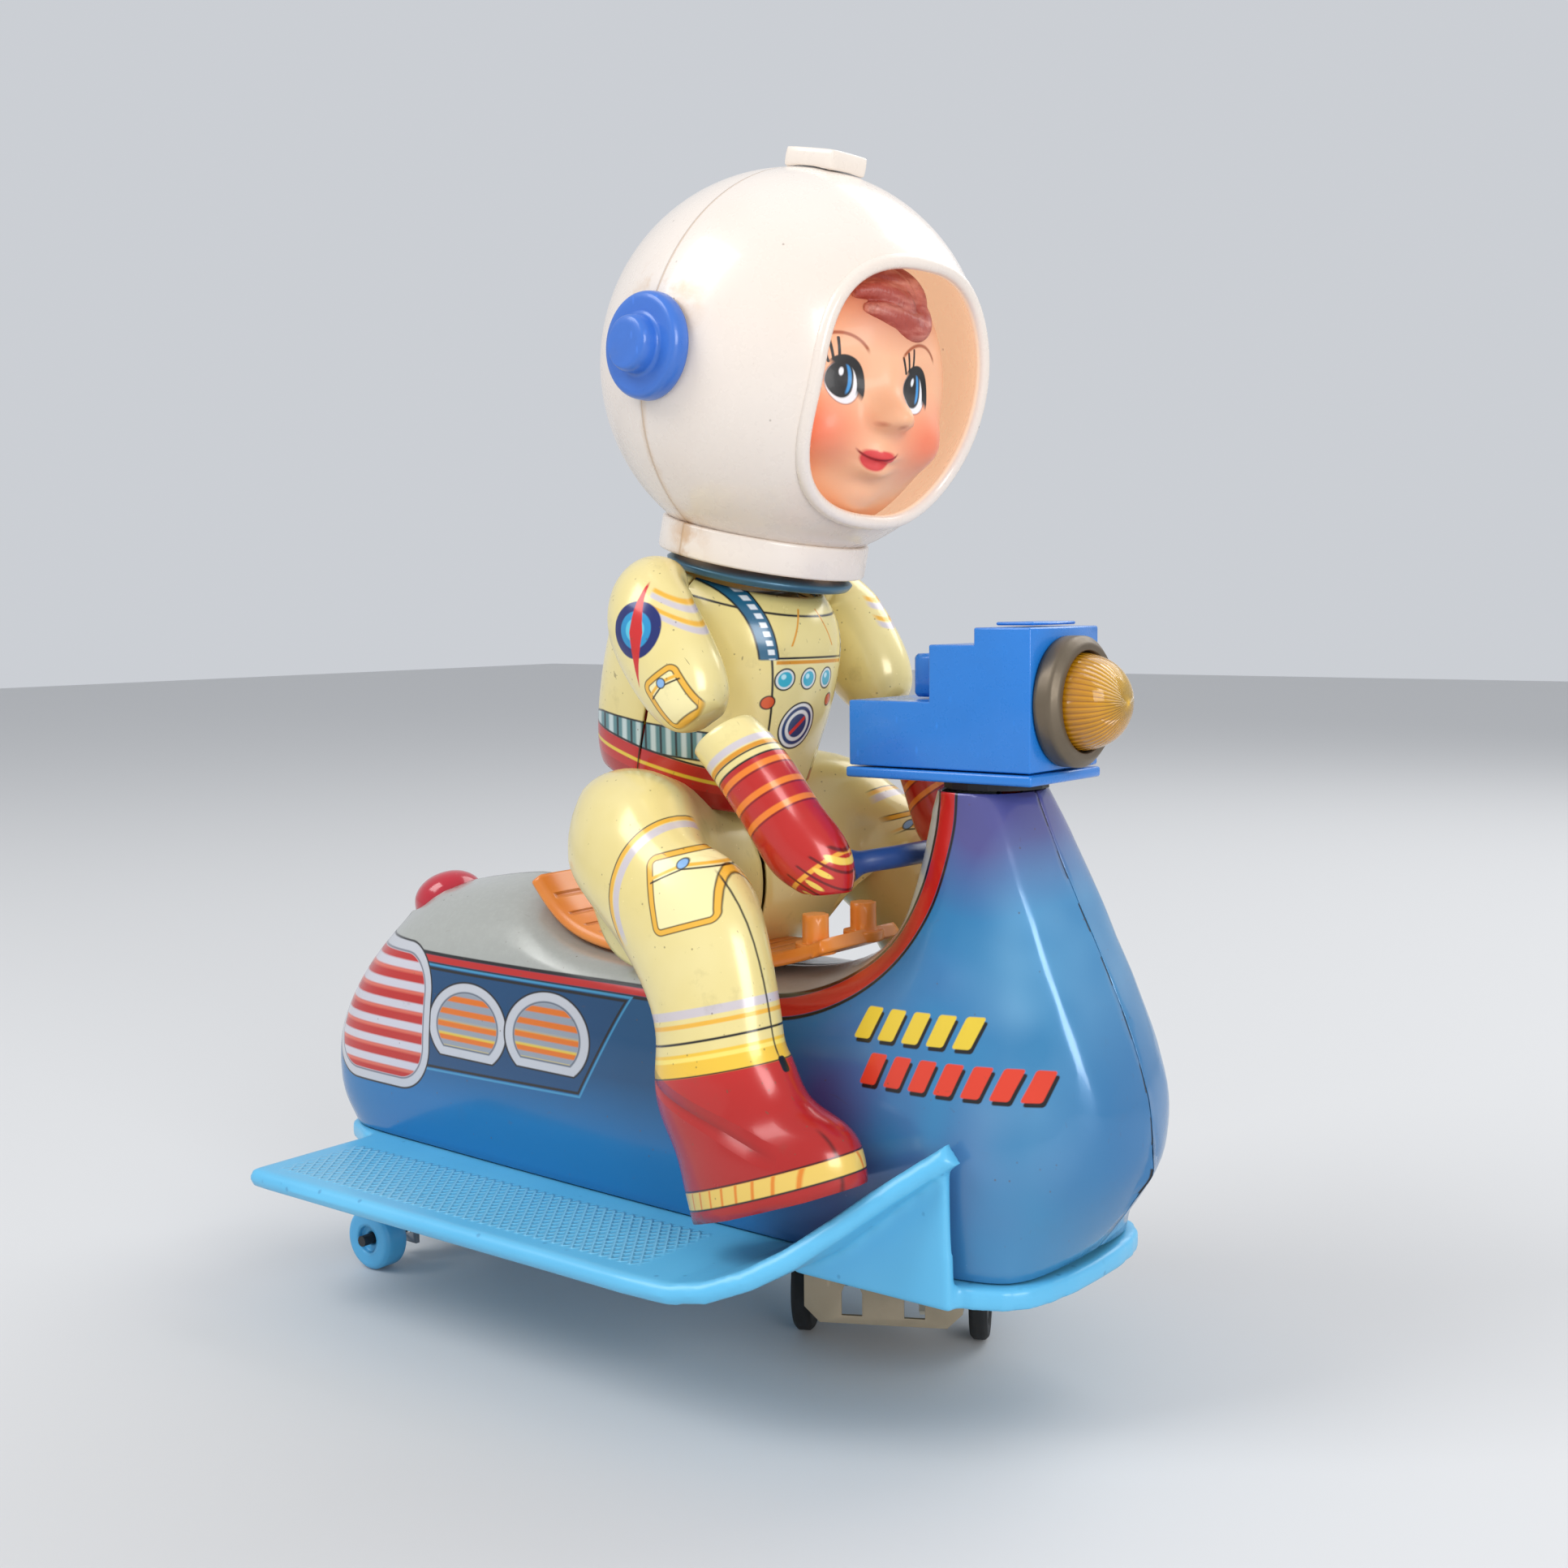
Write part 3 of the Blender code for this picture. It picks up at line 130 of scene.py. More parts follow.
class Finish:
    """A material under construction: one method adds any node, the rest are steps of paint."""

    def __init__(self, name, **constants):
        self.mat = bpy.data.materials.new(name)
        self.mat.use_nodes = True
        self.tree = self.mat.node_tree
        self.tree.nodes.clear()
        self.shader = self.tree.nodes.new('ShaderNodeBsdfPrincipled')
        out = self.tree.nodes.new('ShaderNodeOutputMaterial')
        self.tree.links.new(self.shader.outputs[0], out.inputs[0])
        for key, value in constants.items():
            self.shader.inputs[key.replace("_", " ")].default_value = value
        self.base = None

    def node(self, kind, settings=None, inputs=None):
        node = self.tree.nodes.new(kind)
        for key, value in (settings or {}).items():
            setattr(node, key, value)
        for key, value in (inputs or {}).items():
            self.feed(node.inputs[key], value)
        return node

    def feed(self, socket, value):
        if isinstance(value, Num):
            value = value.socket
        if isinstance(value, bpy.types.NodeSocket):
            self.tree.links.new(value, socket)
        elif isinstance(value, (tuple, list, Vector)) and socket.type == 'RGBA' and len(value) == 3:
            socket.default_value = (*value, 1.0)
        else:
            socket.default_value = value

    def math(self, operation, *values, clamp=False):
        node = self.node('ShaderNodeMath', {"operation": operation, "use_clamp": clamp},
                         dict(enumerate(values)))
        return Num(self, node.outputs[0])

    def place(self, centre=(0, 0, 0), turn=None):
        """x, y, z in millimetres, in a frame with that centre and turn."""
        coords = self.node('ShaderNodeTexCoord').outputs["Object"]
        angles = turn.to_euler('XYZ') if turn is not None else Euler((0, 0, 0))
        mapping = self.node('ShaderNodeMapping', {"vector_type": 'TEXTURE'},
                            {"Vector": coords, "Location": Vector(centre) * MM,
                             "Rotation": tuple(angles), "Scale": (MM, MM, MM)})
        self.spot = mapping.outputs[0]
        split = self.node('ShaderNodeSeparateXYZ', None, {0: self.spot})
        return [Num(self, split.outputs[i]) for i in range(3)]

    def noise(self, scale, detail=3.0, rough=0.55, stretch=None, distort=0.0):
        """Cloudy value between 0 and 1; scale is in features for each millimetre."""
        spot = self.spot
        if stretch is not None:
            spot = self.node('ShaderNodeVectorMath', {"operation": 'MULTIPLY'},
                             {0: spot, 1: stretch}).outputs[0]
        node = self.node('ShaderNodeTexNoise', None,
                         {"Vector": spot, "Scale": scale, "Detail": detail, "Roughness": rough,
                          "Distortion": distort})
        return Num(self, node.outputs[0])

    def specks(self, scale, size, stretch=None, amount=0.5):
        """Sparse small marks: 1 on a mark."""
        spot = self.spot
        if stretch is not None:
            spot = self.node('ShaderNodeVectorMath', {"operation": 'MULTIPLY'},
                             {0: spot, 1: stretch}).outputs[0]
        node = self.node('ShaderNodeTexVoronoi', None, {"Vector": spot, "Scale": scale})
        shade = self.node('ShaderNodeSeparateColor', None, {0: node.outputs["Color"]})
        chosen = Num(self, shade.outputs[0]).ramp(1 - amount, 1 - amount + 0.02)
        return Num(self, node.outputs["Distance"]).ramp(size, size * 0.5) * chosen

    def paint(self, colour, mask=None):
        """Lay a colour, or a colour socket, over what is there, where the mask is 1."""
        if mask is None:
            self.base = colour
            return
        node = self.node('ShaderNodeMix', {"data_type": 'RGBA'})
        self.feed(node.inputs[0], mask)
        self.feed(node.inputs[6], self.base)
        self.feed(node.inputs[7], colour)
        self.base = node.outputs[2]

    def bump(self, height, distance):
        node = self.node('ShaderNodeBump', None, {"Height": height, "Distance": distance * MM,
                                                  "Strength": 1.0})
        if self.shader.inputs["Normal"].is_linked:
            self.feed(node.inputs["Normal"], self.shader.inputs["Normal"].links[0].from_socket)
        self.feed(self.shader.inputs["Normal"], node.outputs[0])

    def done(self, roughness=None, metallic=None):
        self.feed(self.shader.inputs["Base Color"], self.base)
        if roughness is not None:
            self.feed(self.shader.inputs["Roughness"], roughness)
        if metallic is not None:
            self.feed(self.shader.inputs["Metallic"], metallic)
        return self.mat


def inside(distance, soft=0.12):
    """1 where a signed distance is below zero."""
    return distance.ramp(soft, -soft)


def outline(distance, width, soft=0.12):
    """1 within half the width of a signed distance's zero."""
    return inside(abs(distance) - width / 2, soft)


def band(value, low, high, soft=0.12):
    return inside(abs(value - (low + high) / 2) - (high - low) / 2, soft)


def disc(u, v, cu, cv, ru, rv=None):
    rv = rv or ru
    a = (u - cu) / ru
    b = (v - cv) / rv
    return ((a * a + b * b).root() - 1.0) * min(ru, rv)


def tablet(u, v, cu, cv, hu, hv, radius):
    """Signed distance to a rectangle with round corners."""
    a = (abs(u - cu) - (hu - radius)).high(0.0)
    b = (abs(v - cv) - (hv - radius)).high(0.0)
    return (a * a + b * b).root() - radius


def stroke(u, v, start, end, width):
    """Signed distance to a straight stroke with round ends."""
    du, dv = end[0] - start[0], end[1] - start[1]
    size = du * du + dv * dv
    a, b = u - start[0], v - start[1]
    t = (a * (du / size) + b * (dv / size)).high(0.0).low(1.0)
    p, q = a - t * du, b - t * dv
    return (p * p + q * q).root() - width / 2


def turned(u, v, cu, cv, degrees):
    """u and v measured from a centre, along axes turned by an angle."""
    c, s = math.cos(math.radians(degrees)), math.sin(math.radians(degrees))
    a, b = u - cu, v - cv
    return a * c + b * s, b * c - a * s


# ------------------------------------------------------------------ mesh helpers

def pick(obj):
    bpy.ops.object.select_all(action='DESELECT')
    obj.hide_viewport = False
    obj.select_set(True)
    bpy.context.view_layer.objects.active = obj


def apply(obj, kind, **settings):
    pick(obj)
    mod = obj.modifiers.new(kind.lower(), kind)
    for key, value in settings.items():
        setattr(mod, key, value)
    bpy.ops.object.modifier_apply(modifier=mod.name)


def smooth(obj, angle=35):
    pick(obj)
    bpy.ops.object.shade_smooth_by_angle(angle=math.radians(angle))


def settle(obj, node, mat, body=None, also=()):
    """The finished piece rides with its node's body and stands for the node."""
    obj.data.materials.clear()
    obj.data.materials.append(mat)
    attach(obj, body or BODY_OF[node])
    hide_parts(node, *also)
    return obj


def copy_of(node, name):
    """The node's mesh as a new object, with its loose triangles merged."""
    source = frame["nodes"][node]
    mesh = source.data.copy()
    mesh.name = name
    obj = bpy.data.objects.new(name, mesh)
    bpy.context.scene.collection.objects.link(obj)
    pick(obj)
    bpy.ops.object.mode_set(mode='EDIT')
    bpy.ops.mesh.select_all(action='SELECT')
    bpy.ops.mesh.remove_doubles(threshold=0.00001)
    bpy.ops.mesh.tris_convert_to_quads(face_threshold=math.radians(50), shape_threshold=math.radians(60))
    bpy.ops.object.mode_set(mode='OBJECT')
    return obj


def skin(node, name, mat, sharp=48, levels=2, angle=50):
    """A round-formed copy of a node: its broad faces curve, its rims and corners stay crisp."""
    obj = copy_of(node, name)
    bm = bmesh.new()
    bm.from_mesh(obj.data)
    layer = bm.edges.layers.float.get("crease_edge") or bm.edges.layers.float.new("crease_edge")
    for edge in bm.edges:
        if len(edge.link_faces) != 2 or edge.calc_face_angle(0.0) > math.radians(sharp):
            edge[layer] = 0.9
    bm.to_mesh(obj.data)
    bm.free()
    apply(obj, 'SUBSURF', levels=levels, render_levels=levels)
    smooth(obj, angle)
    return settle(obj, node, mat)


def edged(node, name, mat, width=0.35, segments=2, angle=35):
    """A copy of a node with its corners rounded."""
    obj = copy_of(node, name)
    pick(obj)
    bpy.ops.object.mode_set(mode='EDIT')
    bpy.ops.mesh.select_all(action='SELECT')
    bpy.ops.mesh.dissolve_limited(angle_limit=math.radians(1))
    bpy.ops.object.mode_set(mode='OBJECT')
    apply(obj, 'BEVEL', width=width * MM, segments=segments, limit_method='ANGLE',
          angle_limit=math.radians(angle), harden_normals=False)
    smooth(obj, angle)
    return settle(obj, node, mat)


def tube(name, points, radii, cyclic=False, sides=6):
    """A round strand through points (mm), swollen by the radii, made a mesh."""
    curve = bpy.data.curves.new(name, 'CURVE')
    curve.dimensions = '3D'
    curve.bevel_depth = MM
    curve.bevel_resolution = sides
    curve.use_fill_caps = not cyclic
    line = curve.splines.new('POLY')
    line.points.add(len(points) - 1)
    for item, spot, radius in zip(line.points, points, radii):
        item.co = (*(Vector(spot) * MM), 1.0)
        item.radius = radius
    line.use_cyclic_u = cyclic
    obj = bpy.data.objects.new(name, curve)
    bpy.context.scene.collection.objects.link(obj)
    pick(obj)
    bpy.ops.object.convert(target='MESH')
    return bpy.context.object


def join_into(main, others):
    bpy.ops.object.select_all(action='DESELECT')
    for item in others:
        item.select_set(True)
    main.select_set(True)
    bpy.context.view_layer.objects.active = main
    bpy.ops.object.join()
    return main


# ------------------------------------------------------------------ colours

HULL_LOW = (0.006, 0.17, 0.42)
HULL_MID = (0.005, 0.075, 0.19)
HULL_FRONT = (0.045, 0.23, 0.44)
PURPLE = (0.10, 0.055, 0.22)
GREY = (0.40, 0.41, 0.38)
SILVER = (0.55, 0.56, 0.60)
RED = (0.51, 0.016, 0.012)
BLACK = (0.008, 0.007, 0.008)
YELLOW = (0.78, 0.56, 0.04)
ORANGE = (0.75, 0.17, 0.01)
SUIT = (0.80, 0.66, 0.26)
OCHRE = (0.72, 0.30, 0.02)
LILAC = (0.62, 0.56, 0.58)
BASE_BLUE = (0.10, 0.46, 0.75)
PIPING = (0.86, 0.46, 0.05)
NAVY = (0.02, 0.05, 0.16)
DARK_RED = (0.22, 0.004, 0.004)
DIRT = (0.10, 0.065, 0.03)


def tin_wear(fin, amount=1.0):
    """Fine grime, dark pinholes and hair scratches over printed tin."""
    cloud = fin.noise(0.16, 5.0, 0.65)
    fin.paint(DIRT, cloud.ramp(0.60, 0.86) * (0.28 * amount))
    fin.paint(DIRT, fin.specks(0.9, 0.22, None, 0.10 * amount) * 0.55)
    scratch = fin.noise(0.5, 2.0, 0.5, (0.25, 3.0, 0.7), 0.6)
    fin.paint(DIRT, scratch.ramp(0.735, 0.76) * (0.5 * amount))


def tin_gloss(fin, rough=0.2):
    worn = fin.noise(0.35, 4.0, 0.6)
    fin.bump(fin.noise(0.045, 1.0, 0.4), 0.25)
    return fin.done(roughness=worn * 0.16 + (rough - 0.04))


# ------------------------------------------------------------------ body of the scooter

def hull_finish(name, side):
    fin = Finish(name, Metallic=0.12, Coat_Weight=0.35, Coat_Roughness=0.08)
    x, y, z = fin.place()
    fin.paint(HULL_LOW)
    fin.paint(HULL_MID, z.ramp(40.0, 53.0) * x.ramp(50.0, 20.0))
    fin.paint(HULL_FRONT, x.ramp(28.0, 84.0) * z.ramp(125.0, 60.0).high(0.45))
    cloud = fin.noise(0.035, 2.0, 0.5)
    low = inside(disc(x, z, 58, 52, 26, 24), 13.0)
    fin.paint(PURPLE, (low * cloud.ramp(0.30, 0.62)) * 0.85)
    high = inside(disc(x, z, 76, 108, 13, 12), 6.0)
    fin.paint(PURPLE, high * 0.8)
    # painted highlight: a lighter streak down the front column
    highlight_streak = inside(disc(x, z, 85, 74, 8, 20), 7.0)
    fin.paint((0.30, 0.62, 0.86), highlight_streak * cloud.ramp(0.35, 0.6) * 0.5)
    fin.paint((0.03, 0.15, 0.36), x.ramp(90.0, 101.0) * 0.75)
    # upper grey deck and the red line that follows it up the column
    ahead = (x - 33.0).high(0.0) / 36.5
    beneath = (108.0 - z).high(0.0) / 39.0
    sweep = ((ahead * ahead + beneath * beneath).root() - 1.0) * 37.7
    line = x.ramp(8.0, 50.0) * 2.3 + 2.0
    fin.paint(GREY, inside(sweep + line))
    grain = fin.noise(0.7, 3.0, 0.7)
    fin.paint((0.52, 0.53, 0.50), inside(sweep + line + 0.6) * grain.ramp(0.45, 0.8) * 0.25)
    fin.paint(BLACK, outline(sweep + line, 0.7))
    fin.paint(RED, inside(abs(sweep + line / 2) - line / 2 + 0.35))
    fin.paint(BLACK, outline(sweep, 0.6) * x.ramp(-62.0, -58.0))
    # panel frame behind the two louvres
    lower = z - 47.2 - (x + 64.5) * 0.024
    slope = (x + 11.5) * 0.868 - (z - 48.4) * 0.497
    frame_line = (-lower).high(slope).high(0.9 - sweep)
    fin.paint((0.004, 0.055, 0.15), inside(frame_line) * x.ramp(-68.0, -60.0) * 0.85)
    fin.paint(BLACK, outline(frame_line, 0.55) * x.ramp(-66.0, -64.0))
    fin.paint((0.05, 0.28, 0.5), outline(frame_line - 0.7, 0.45) * x.ramp(-66.0, -64.0))
    for centre, top in ((-44.8, 0.0), (-21.0, 1.0)):
        louvre(fin, x, z, centre, 57.2 + top)
    grille(fin, x, z)
    flashes(fin, x, z)
    # crimped tabs along the front seam
    seam = inside(abs(y) - 0.45) * inside(z.wave(9.0) - 2.4) * x.ramp(62.0, 64.0)
    if side < 0:
        fin.paint(BLACK, seam)
    tin_wear(fin, 0.32)
    return tin_gloss(fin, 0.19)


def louvre(fin, x, z, cx, cz):
    """A printed air outlet: silver rim, round over the top, with orange slats."""
    window = disc(x, z, cx, cz, 12.0, 9.0).high((cz - 6.6) - z)
    fin.paint(BLACK, inside(window - 0.35))
    fin.paint(SILVER, inside(window))
    fin.paint((0.16, 0.18, 0.22), outline(window + 1.9, 0.45))
    inner = inside(window + 2.1)
    fin.paint((0.30, 0.33, 0.38), inner)
    slat = (z - cz).wave(2.7)
    fin.paint(ORANGE, inner * inside(slat - 0.62, 0.15))
    fin.paint(YELLOW, inner * inside((z - cz - 0.7).wave(2.7) - 0.28, 0.15) * z.ramp(cz + 2, cz - 3))


def grille(fin, x, z):
    """The slatted grille printed round the tail."""
    shape = tablet(x, z, -74.5, 56.8, 17.6, 15.6, 10.0)
    fin.paint(BLACK, inside(shape - 0.4))
    fin.paint(SILVER, inside(shape))
    fin.paint((0.2, 0.2, 0.24), outline(shape + 2.0, 0.4))
    inner = inside(shape + 2.3)
    fin.paint((0.62, 0.60, 0.66), inner)
    fin.paint(RED, inner * inside((z - 57.0).wave(4.3) - 1.25, 0.2))
    fin.paint((0.75, 0.16, 0.10), inner * inside((z - 57.9).wave(4.3) - 0.3, 0.3))


def flashes(fin, x, z):
    """Two rows of plain slanted blocks on the front shield."""
    rows = ((71.4, YELLOW, 55.0, 5, 0.02), (63.6, (0.72, 0.05, 0.02), 57.6, 7, 0.0))
    for level, colour, first, count, slope in rows:
        v = z - level - (x - 70.0) * slope
        u = x - v * 0.35 - first
        block = tablet(u.math('WRAP', 0.0, 5.0), v, 2.3, 0.0, 1.65, 2.7, 0.5)
        whole = band(u, 0.0, count * 5.0)
        shadow = tablet((u - 0.7).math('WRAP', 0.0, 5.0), v + 0.7, 2.3, 0.0, 1.65, 2.7, 0.5)
        fin.paint(BLACK, inside(shadow) * whole)
        fin.paint(colour, inside(block) * whole)


def body():
    skin("body_right", "hull_right", hull_finish("hull_print_right", -1), sharp=60)
    skin("body_left", "hull_left", hull_finish("hull_print_left", 1), sharp=60)


def base_finish():
    fin = Finish("footboard_plastic", Coat_Weight=0.15, Coat_Roughness=0.2)
    x, y, z = fin.place()
    fin.paint(BASE_BLUE)
    fin.paint((0.17, 0.58, 0.86), fin.noise(0.03, 2.0, 0.5).ramp(0.35, 0.7) * 0.4)
    tread = inside(abs(abs(y) - 40.3) - 10.4, 0.4) * band(x, -71.0, 27.0, 1.5)
    along = (x * 0.8 + y * 0.6).wave(1.9)
    across = (x * 0.8 - y * 0.6).wave(1.9)
    hatch = inside(along.low(across) - 0.3, 0.22) * tread
    # painted highlight: lighter lines along the ridges of the moulded cross-hatch
    fin.paint((0.32, 0.70, 0.93), hatch * 0.45)
    fin.paint((0.03, 0.20, 0.42), fin.specks(0.5, 0.3, None, 0.06) * 0.5)
    fin.bump(hatch, 0.35)
    return fin.done(roughness=fin.noise(0.4, 3.0, 0.6) * 0.14 + 0.28)


def plain_finish(name, colour, rough, mark=0.35, grain=0.02, **constants):
    """Moulded plastic or plain metal: soft mottling, handling marks and a faint orange peel."""
    fin = Finish(name, **constants)
    fin.place()
    fin.paint(colour)
    fin.paint(tuple(c * 0.55 for c in colour), fin.noise(0.09, 4.0, 0.6).ramp(0.45, 0.85) * mark)
    pale = tuple(min(1.0, c * 1.3 + 0.01) for c in colour)
    fin.paint(pale, fin.specks(0.7, 0.25, (1, 1, 0.4), 0.08) * 0.5)
    fin.bump(fin.noise(0.9, 2.0, 0.5), grain)
    return fin.done(roughness=fin.noise(0.5, 3.0, 0.6) * 0.2 + (rough - 0.08))


def base():
    """The moulding remade as one even mesh and relaxed, so its rims are soft."""
    obj = copy_of("base", "footboards")
    apply(obj, 'REMESH', mode='VOXEL', voxel_size=FOOTBOARD_MESH * MM)
    apply(obj, 'SMOOTH', factor=0.5, iterations=4)
    smooth(obj, 60)
    settle(obj, "base", base_finish())


def seat_finish():
    fin = Finish("seat_plastic", Coat_Weight=0.2, Coat_Roughness=0.2)
    x, y, z = fin.place()
    fin.paint((0.84, 0.25, 0.03))
    fin.paint((0.95, 0.42, 0.10), fin.noise(0.08, 2.0, 0.5).ramp(0.4, 0.7) * 0.4)
    ribs = inside(x.wave(4.2) - 0.35, 0.25) * inside(abs(y) - 11.0, 0.4) * x.ramp(30.0, 28.0)
    # painted shade: the grooves between the ribs darkened
    fin.paint((0.55, 0.12, 0.01), ribs * 0.5)
    fin.bump(ribs * -1.0, 0.5)
    return fin.done(roughness=fin.noise(0.5, 3.0, 0.6) * 0.15 + 0.28)


def lens_finish():
    """Ribbed amber lens, with a painted reflection where the reflector shows through, painted shade in its
    grooves, and darker towards the rim.
    """
    fin = Finish("amber_ribbed", Transmission_Weight=0.15, IOR=1.49, Coat_Weight=0.5,
                 Coat_Roughness=0.05)
    x, y, z = fin.place((0, 0, 127.7))
    angle = z.math('ARCTAN2', y)
    ribs = (angle * (48.0 / math.pi)).wave(2.0)
    radius = (y * y + z * z).root()
    fin.paint((0.80, 0.36, 0.004))
    # painted reflection of the reflector behind the lens
    fin.paint((0.95, 0.60, 0.02), inside(disc(y, z, 1.5, 3.0, 5.0), 3.5) * 0.7)
    # painted shade in the grooves between the ribs
    fin.paint((0.30, 0.10, 0.005), ribs.ramp(0.55, 1.0) * radius.ramp(0.6, 3.0) * 0.75)
    fin.paint((0.35, 0.12, 0.004), radius.ramp(6.0, 8.8) * 0.55)
    fin.bump(ribs * radius.ramp(0.3, 2.0), -0.28)
    return fin.done(roughness=fin.noise(0.5, 2.0, 0.5) * 0.06 + 0.08)


def fittings():
    skin("seat", "seat_moulding", seat_finish(), sharp=30, levels=2)
    skin("handlebar", "bar", plain_finish("bar_plastic", (0.02, 0.06, 0.22), 0.3, 0.3), sharp=40)
    skin("rear_lamp", "rear_lamp_dome",
         plain_finish("red_lamp_plastic", (0.50, 0.012, 0.03), 0.16, 0.25, 0.0, Coat_Weight=0.4), sharp=50)
    blue = plain_finish("console_blue", (0.015, 0.19, 0.62), 0.27, 0.16, 0.015, Coat_Weight=0.3,
                        Coat_Roughness=0.1)
    for node, name in (("console_shell", "console_case"), ("console_floor", "console_sole"),
                       ("console_cap", "console_plate"), ("console_button", "console_key")):
        edged(node, name, blue, 0.5, 3)
    rim = plain_finish("rim_tan", (0.16, 0.125, 0.085), 0.42, 0.4, 0.02, Metallic=0.5)
    skin("lamp_bezel", "lamp_rim", rim, sharp=40)
    lamp_lens()
    paint_node("lamp_socket", plain_finish("reflector", (0.75, 0.6, 0.3), 0.3, 0.3, 0.01, Metallic=0.9))
    paint_node("lamp_bulb", plain_finish("bulb", (0.85, 0.82, 0.7), 0.12, 0.2, 0.0))
    paint_node("neck_washer", plain_finish("washer_black", (0.02, 0.02, 0.022), 0.5))


def paint_node(node, mat):
    obj = frame["nodes"][node]
    for slot in obj.material_slots:
        slot.material = mat
    if not obj.material_slots:
        obj.data.materials.append(mat)


def lamp_lens():
    skin("lamp_lens", "lamp_dome", lens_finish(), sharp=60)


# ------------------------------------------------------------------ running gear and insides

def running_gear():
    base_blue = plain_finish("wheel_blue", (0.08, 0.40, 0.70), 0.35, 0.3)
    steel = plain_finish("plated_steel", (0.42, 0.42, 0.43), 0.32, 0.4, 0.01, Metallic=0.9)
    dark_steel = plain_finish("axle_black", (0.015, 0.015, 0.016), 0.45, 0.3, 0.01)
    tan = plain_finish("casing_tan", (0.42, 0.33, 0.22), 0.4, 0.45, 0.02, Metallic=0.35)
    rubber = plain_finish("tyre_rubber", (0.012, 0.012, 0.012), 0.75, 0.3, 0.05)
    hub = plain_finish("hub_black", (0.02, 0.02, 0.02), 0.45)
    brass = plain_finish("brass_plain", (0.6, 0.42, 0.16), 0.32, 0.4, 0.01, Metallic=0.95)
    nylon = plain_finish("gear_nylon", (0.72, 0.68, 0.56), 0.5, 0.3)
    cell = plain_finish("cell_grey", (0.10, 0.10, 0.115), 0.38, 0.3)
    for label in ("right", "left"):
        skin("rear_wheel_" + label, "wheel_" + label, base_blue, sharp=40)
        edged("hatch_guide_" + label, "guide_" + label, steel, 0.15)
    for label in ("rear", "front"):
        skin("drive_tyre_" + label, "tyre_" + label, rubber, sharp=40)
        skin("drive_hub_" + label, "hub_" + label, hub, sharp=40)
    edged("drive_casing", "casing", tan, 0.25)
    edged("battery_hatch", "hatch_cover", base_blue, 0.3)
    edged("rear_bracket", "axle_strap", steel, 0.12)
    for node, mat in (("rear_axle", dark_steel), ("drive_axle", dark_steel), ("turntable", steel),
                      ("keeper_ring", steel), ("motor", steel), ("motor_bracket", steel),
                      ("battery_cradle", steel), ("front_contact", brass), ("rear_contact", brass),
                      ("lay_shaft", brass), ("motor_shaft", steel), ("drive_gear", nylon),
                      ("rear_cell", cell), ("front_cell", cell), ("shoulder_rod", steel),
                      ("switch_plate", steel), ("switch_knob", hub)):
        paint_node(node, mat)


# ------------------------------------------------------------------ rider's printed suit

def suit_base(name, centre=(0, 0, 0)):
    fin = Finish(name, Metallic=0.06, Coat_Weight=0.3, Coat_Roughness=0.1)
    x, y, z = fin.place(centre)
    fin.paint(SUIT)
    fin.paint((0.92, 0.82, 0.45), fin.noise(0.05, 3.0, 0.5).ramp(0.4, 0.75) * 0.45)
    return fin, x, y, z


def stripe_pair(fin, d, white=1.5, mask=None):
    """A lilac line with an ochre line beside it, as printed on the suit's joints."""
    lines = ((LILAC, 0.0, white), (OCHRE, white + 0.25, white + 1.1), (BLACK, white + 1.1, white + 1.4))
    for colour, low, high in lines:
        m = band(d, low, high)
        fin.paint(colour, m * mask if mask is not None else m)


def torso_finish(front):
    fin, x, y, z = suit_base("torso_print_front" if front else "torso_print_back")
    # ribbed air hose round the waist
    hose = z - 121.6 - (x + 10.0).high(0.0) * -0.13
    ribs = abs(y * 0.55 + x * 0.8).wave(3.0)
    inhose = inside(abs(hose) - 2.6) * (abs(y).ramp(9.5, 10.5) if front else 1.0)
    fin.paint(BLACK, inside(abs(hose) - 3.0) * (abs(y).ramp(9.3, 10.3) if front else 1.0))
    fin.paint((0.10, 0.24, 0.26), inhose)
    fin.paint((0.55, 0.66, 0.66), inhose * inside(ribs - 0.5, 0.2))
    fin.paint(BLACK, inhose * inside(ribs * -1.0 + 1.3, 0.12))
    # belt
    level = z + (x - 4.0) * 0.27
    fin.paint(BLACK, outline(level - 117.4, 0.5))
    fin.paint(RED, inside(level - 117.2))
    fin.paint(YELLOW, band(level, 114.2, 114.9))
    fin.paint((0.30, 0.008, 0.006), inside(level - 112.4) * 0.6)
    # shoulder piping
    collar = z + (x - 12.0) * 0.27 - 147.4
    fin.paint(BLACK, outline(collar, 0.4))
    if front:
        chest(fin, y, z)
    fin.paint(BLACK, outline(abs(x - 2.0 - (z - 116.0) * 0.27), 0.35) * abs(y).ramp(15, 16))
    tin_wear(fin, 1.0)
    return tin_gloss(fin, 0.2)


